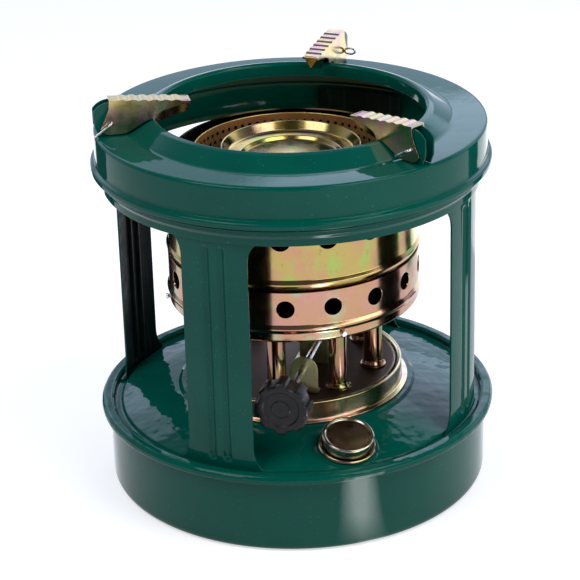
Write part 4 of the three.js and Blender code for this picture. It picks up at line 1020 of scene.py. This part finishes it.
def floorMaterial():
    material, tree, shader, place = newMaterial("paleFloor")
    setInputs(tree, shader, {"Base Color": srgb(ground["tone"]), "Roughness": ground["rough"],
                             "Specular IOR Level": 0})

    def past(azimuth, low, high, top=1.0):
        dot = addNode(tree, "ShaderNodeVectorMath", {0: place, 1: heading(azimuth, 0)},
                      operation="DOT_PRODUCT")
        return spread(tree, dot.outputs["Value"], low, high, 0, top)

    def wedge(first, last, near, top=1.0):
        sides = maths(tree, "MULTIPLY", past(first + 90, 0, ground["sideFade"]),
                      past(last - 90, 0, ground["sideFade"]))
        middle = past((first + last) / 2, near, near + ground["nearFade"], top)
        return maths(tree, "MULTIPLY", sides, middle)

    path = addNode(tree, "ShaderNodeLightPath", {}).outputs
    mirrored = path["Is Glossy Ray"]
    seen = maths(tree, "MAXIMUM", path["Is Camera Ray"],
                 maths(tree, "MAXIMUM", mirrored, path["Is Transmission Ray"]))
    bright = 1.0
    for edge in ground["strip"]:
        bright = maths(tree, "MULTIPLY", past(*edge), bright)
    bright = maths(tree, "ADD", bright, wedge(*ground["bright"]))
    # Painted highlight: the strip and the part behind glow in mirrors only
    sheen = maths(tree, "MULTIPLY", bright, mirrored)
    glow = addNode(tree, "ShaderNodeEmission", {
        "Color": srgb("ffffff"), "Strength": maths(tree, "ADD", sheen, ground["glow"])})
    both = addNode(tree, "ShaderNodeAddShader", {0: shader.outputs[0], 1: glow.outputs[0]})
    lit = addNode(tree, "ShaderNodeMixShader",
                  {0: seen, 1: shader.outputs[0], 2: both.outputs[0]})
    # Painted dark reflections: dark wedges that only mirrors see
    dim = addNode(tree, "ShaderNodeEmission", {"Color": srgb(ground["darkReflectionTone"]), "Strength": 1})
    wedges = maths(tree, "ADD", *(wedge(*side) for side in ground["dim"]))
    pick = addNode(tree, "ShaderNodeMixShader", {
        0: maths(tree, "MULTIPLY", wedges, mirrored), 1: lit.outputs[0], 2: dim.outputs[0]})
    tree.links.new(pick.outputs[0], tree.nodes["Material Output"].inputs["Surface"])
    return material


floorBody = bmesh.new()
bmesh.ops.create_grid(floorBody, x_segments=4, y_segments=4, size=ground["half"])
floorMesh = bpy.data.meshes.new("floor")
floorBody.to_mesh(floorMesh)
floorBody.free()
floor = bpy.data.objects.new("floor", floorMesh)
floorMesh.materials.append(floorMaterial())
bpy.context.scene.collection.objects.link(floor)


# Soft studio surroundings: pale blue and brighter behind the stove, grey behind the camera,
# dimmer overhead, with bright patches behind the stove that show in the enamel. A fade is the
# window and the values at its ends, and a patch azimuth, elevation, half angle and strength.
studio = {"behind": (0.353, 0.935, 0), "tones": ("8b8d92", "cfdcfb"), "toneFade": (-0.2, 0.6),
          "depthFade": (-0.2, 0.8, 0.5, 1.4), "aboveFade": (0.45, 0.75, 1, 0.4),
          "patchEdge": 0.004,
          "patches": ((143, 30, 16, 2), (182, 30, 11, 1.6), (100, 20, 12, 1.6))}


def studioWorld():
    world = bpy.data.worlds.new("studio")
    world.use_nodes = True
    tree = world.node_tree
    way = addNode(tree, "ShaderNodeTexCoord", {}).outputs["Generated"]

    def toward(direction, *fade):
        share = addNode(tree, "ShaderNodeVectorMath", {0: way, 1: direction},
                        operation="DOT_PRODUCT")
        return spread(tree, share.outputs["Value"], *fade)

    strength = maths(tree, "MULTIPLY", toward(studio["behind"], *studio["depthFade"]),
                     toward((0, 0, 1), *studio["aboveFade"]))
    for azimuth, elevation, halfAngle, power in studio["patches"]:
        edge, soft = math.cos(math.radians(halfAngle)), studio["patchEdge"]
        patch = toward(heading(azimuth, elevation), edge - soft, edge + soft, 0, power)
        strength = maths(tree, "ADD", strength, patch)
    tone = blend(tree, toward(studio["behind"], *studio["toneFade"]), *map(srgb, studio["tones"]))
    setInputs(tree, tree.nodes["Background"], {"Color": tone, "Strength": strength})
    return world


bpy.context.scene.world = studioWorld()

lamps = {"distance": 1.7, "aim": (0, 0, 110),
         "highLeft": (-75, 52, (0.9, 0.9), 11), "highRight": (35, 55, (0.9, 0.9), 11),
         "front": (30, 16, (2.3, 0.35), 10)}
lampAim = Vector(lamps["aim"]) * mm
for name in ("highLeft", "highRight", "front"):
    azimuth, elevation, size, power = lamps[name]
    lamp = bpy.data.lights.new(name, "AREA")
    lamp.shape = "RECTANGLE"
    lamp.size, lamp.size_y = size
    lamp.energy = power
    holder = bpy.data.objects.new(name, lamp)
    bpy.context.scene.collection.objects.link(holder)
    fromAim = heading(azimuth, elevation) * lamps["distance"]
    holder.location = lampAim + fromAim
    holder.rotation_euler = (-fromAim).to_track_quat("-Z", "Y").to_euler()

scene = bpy.context.scene
scene.view_settings.view_transform = "Standard"
print("studio ready")
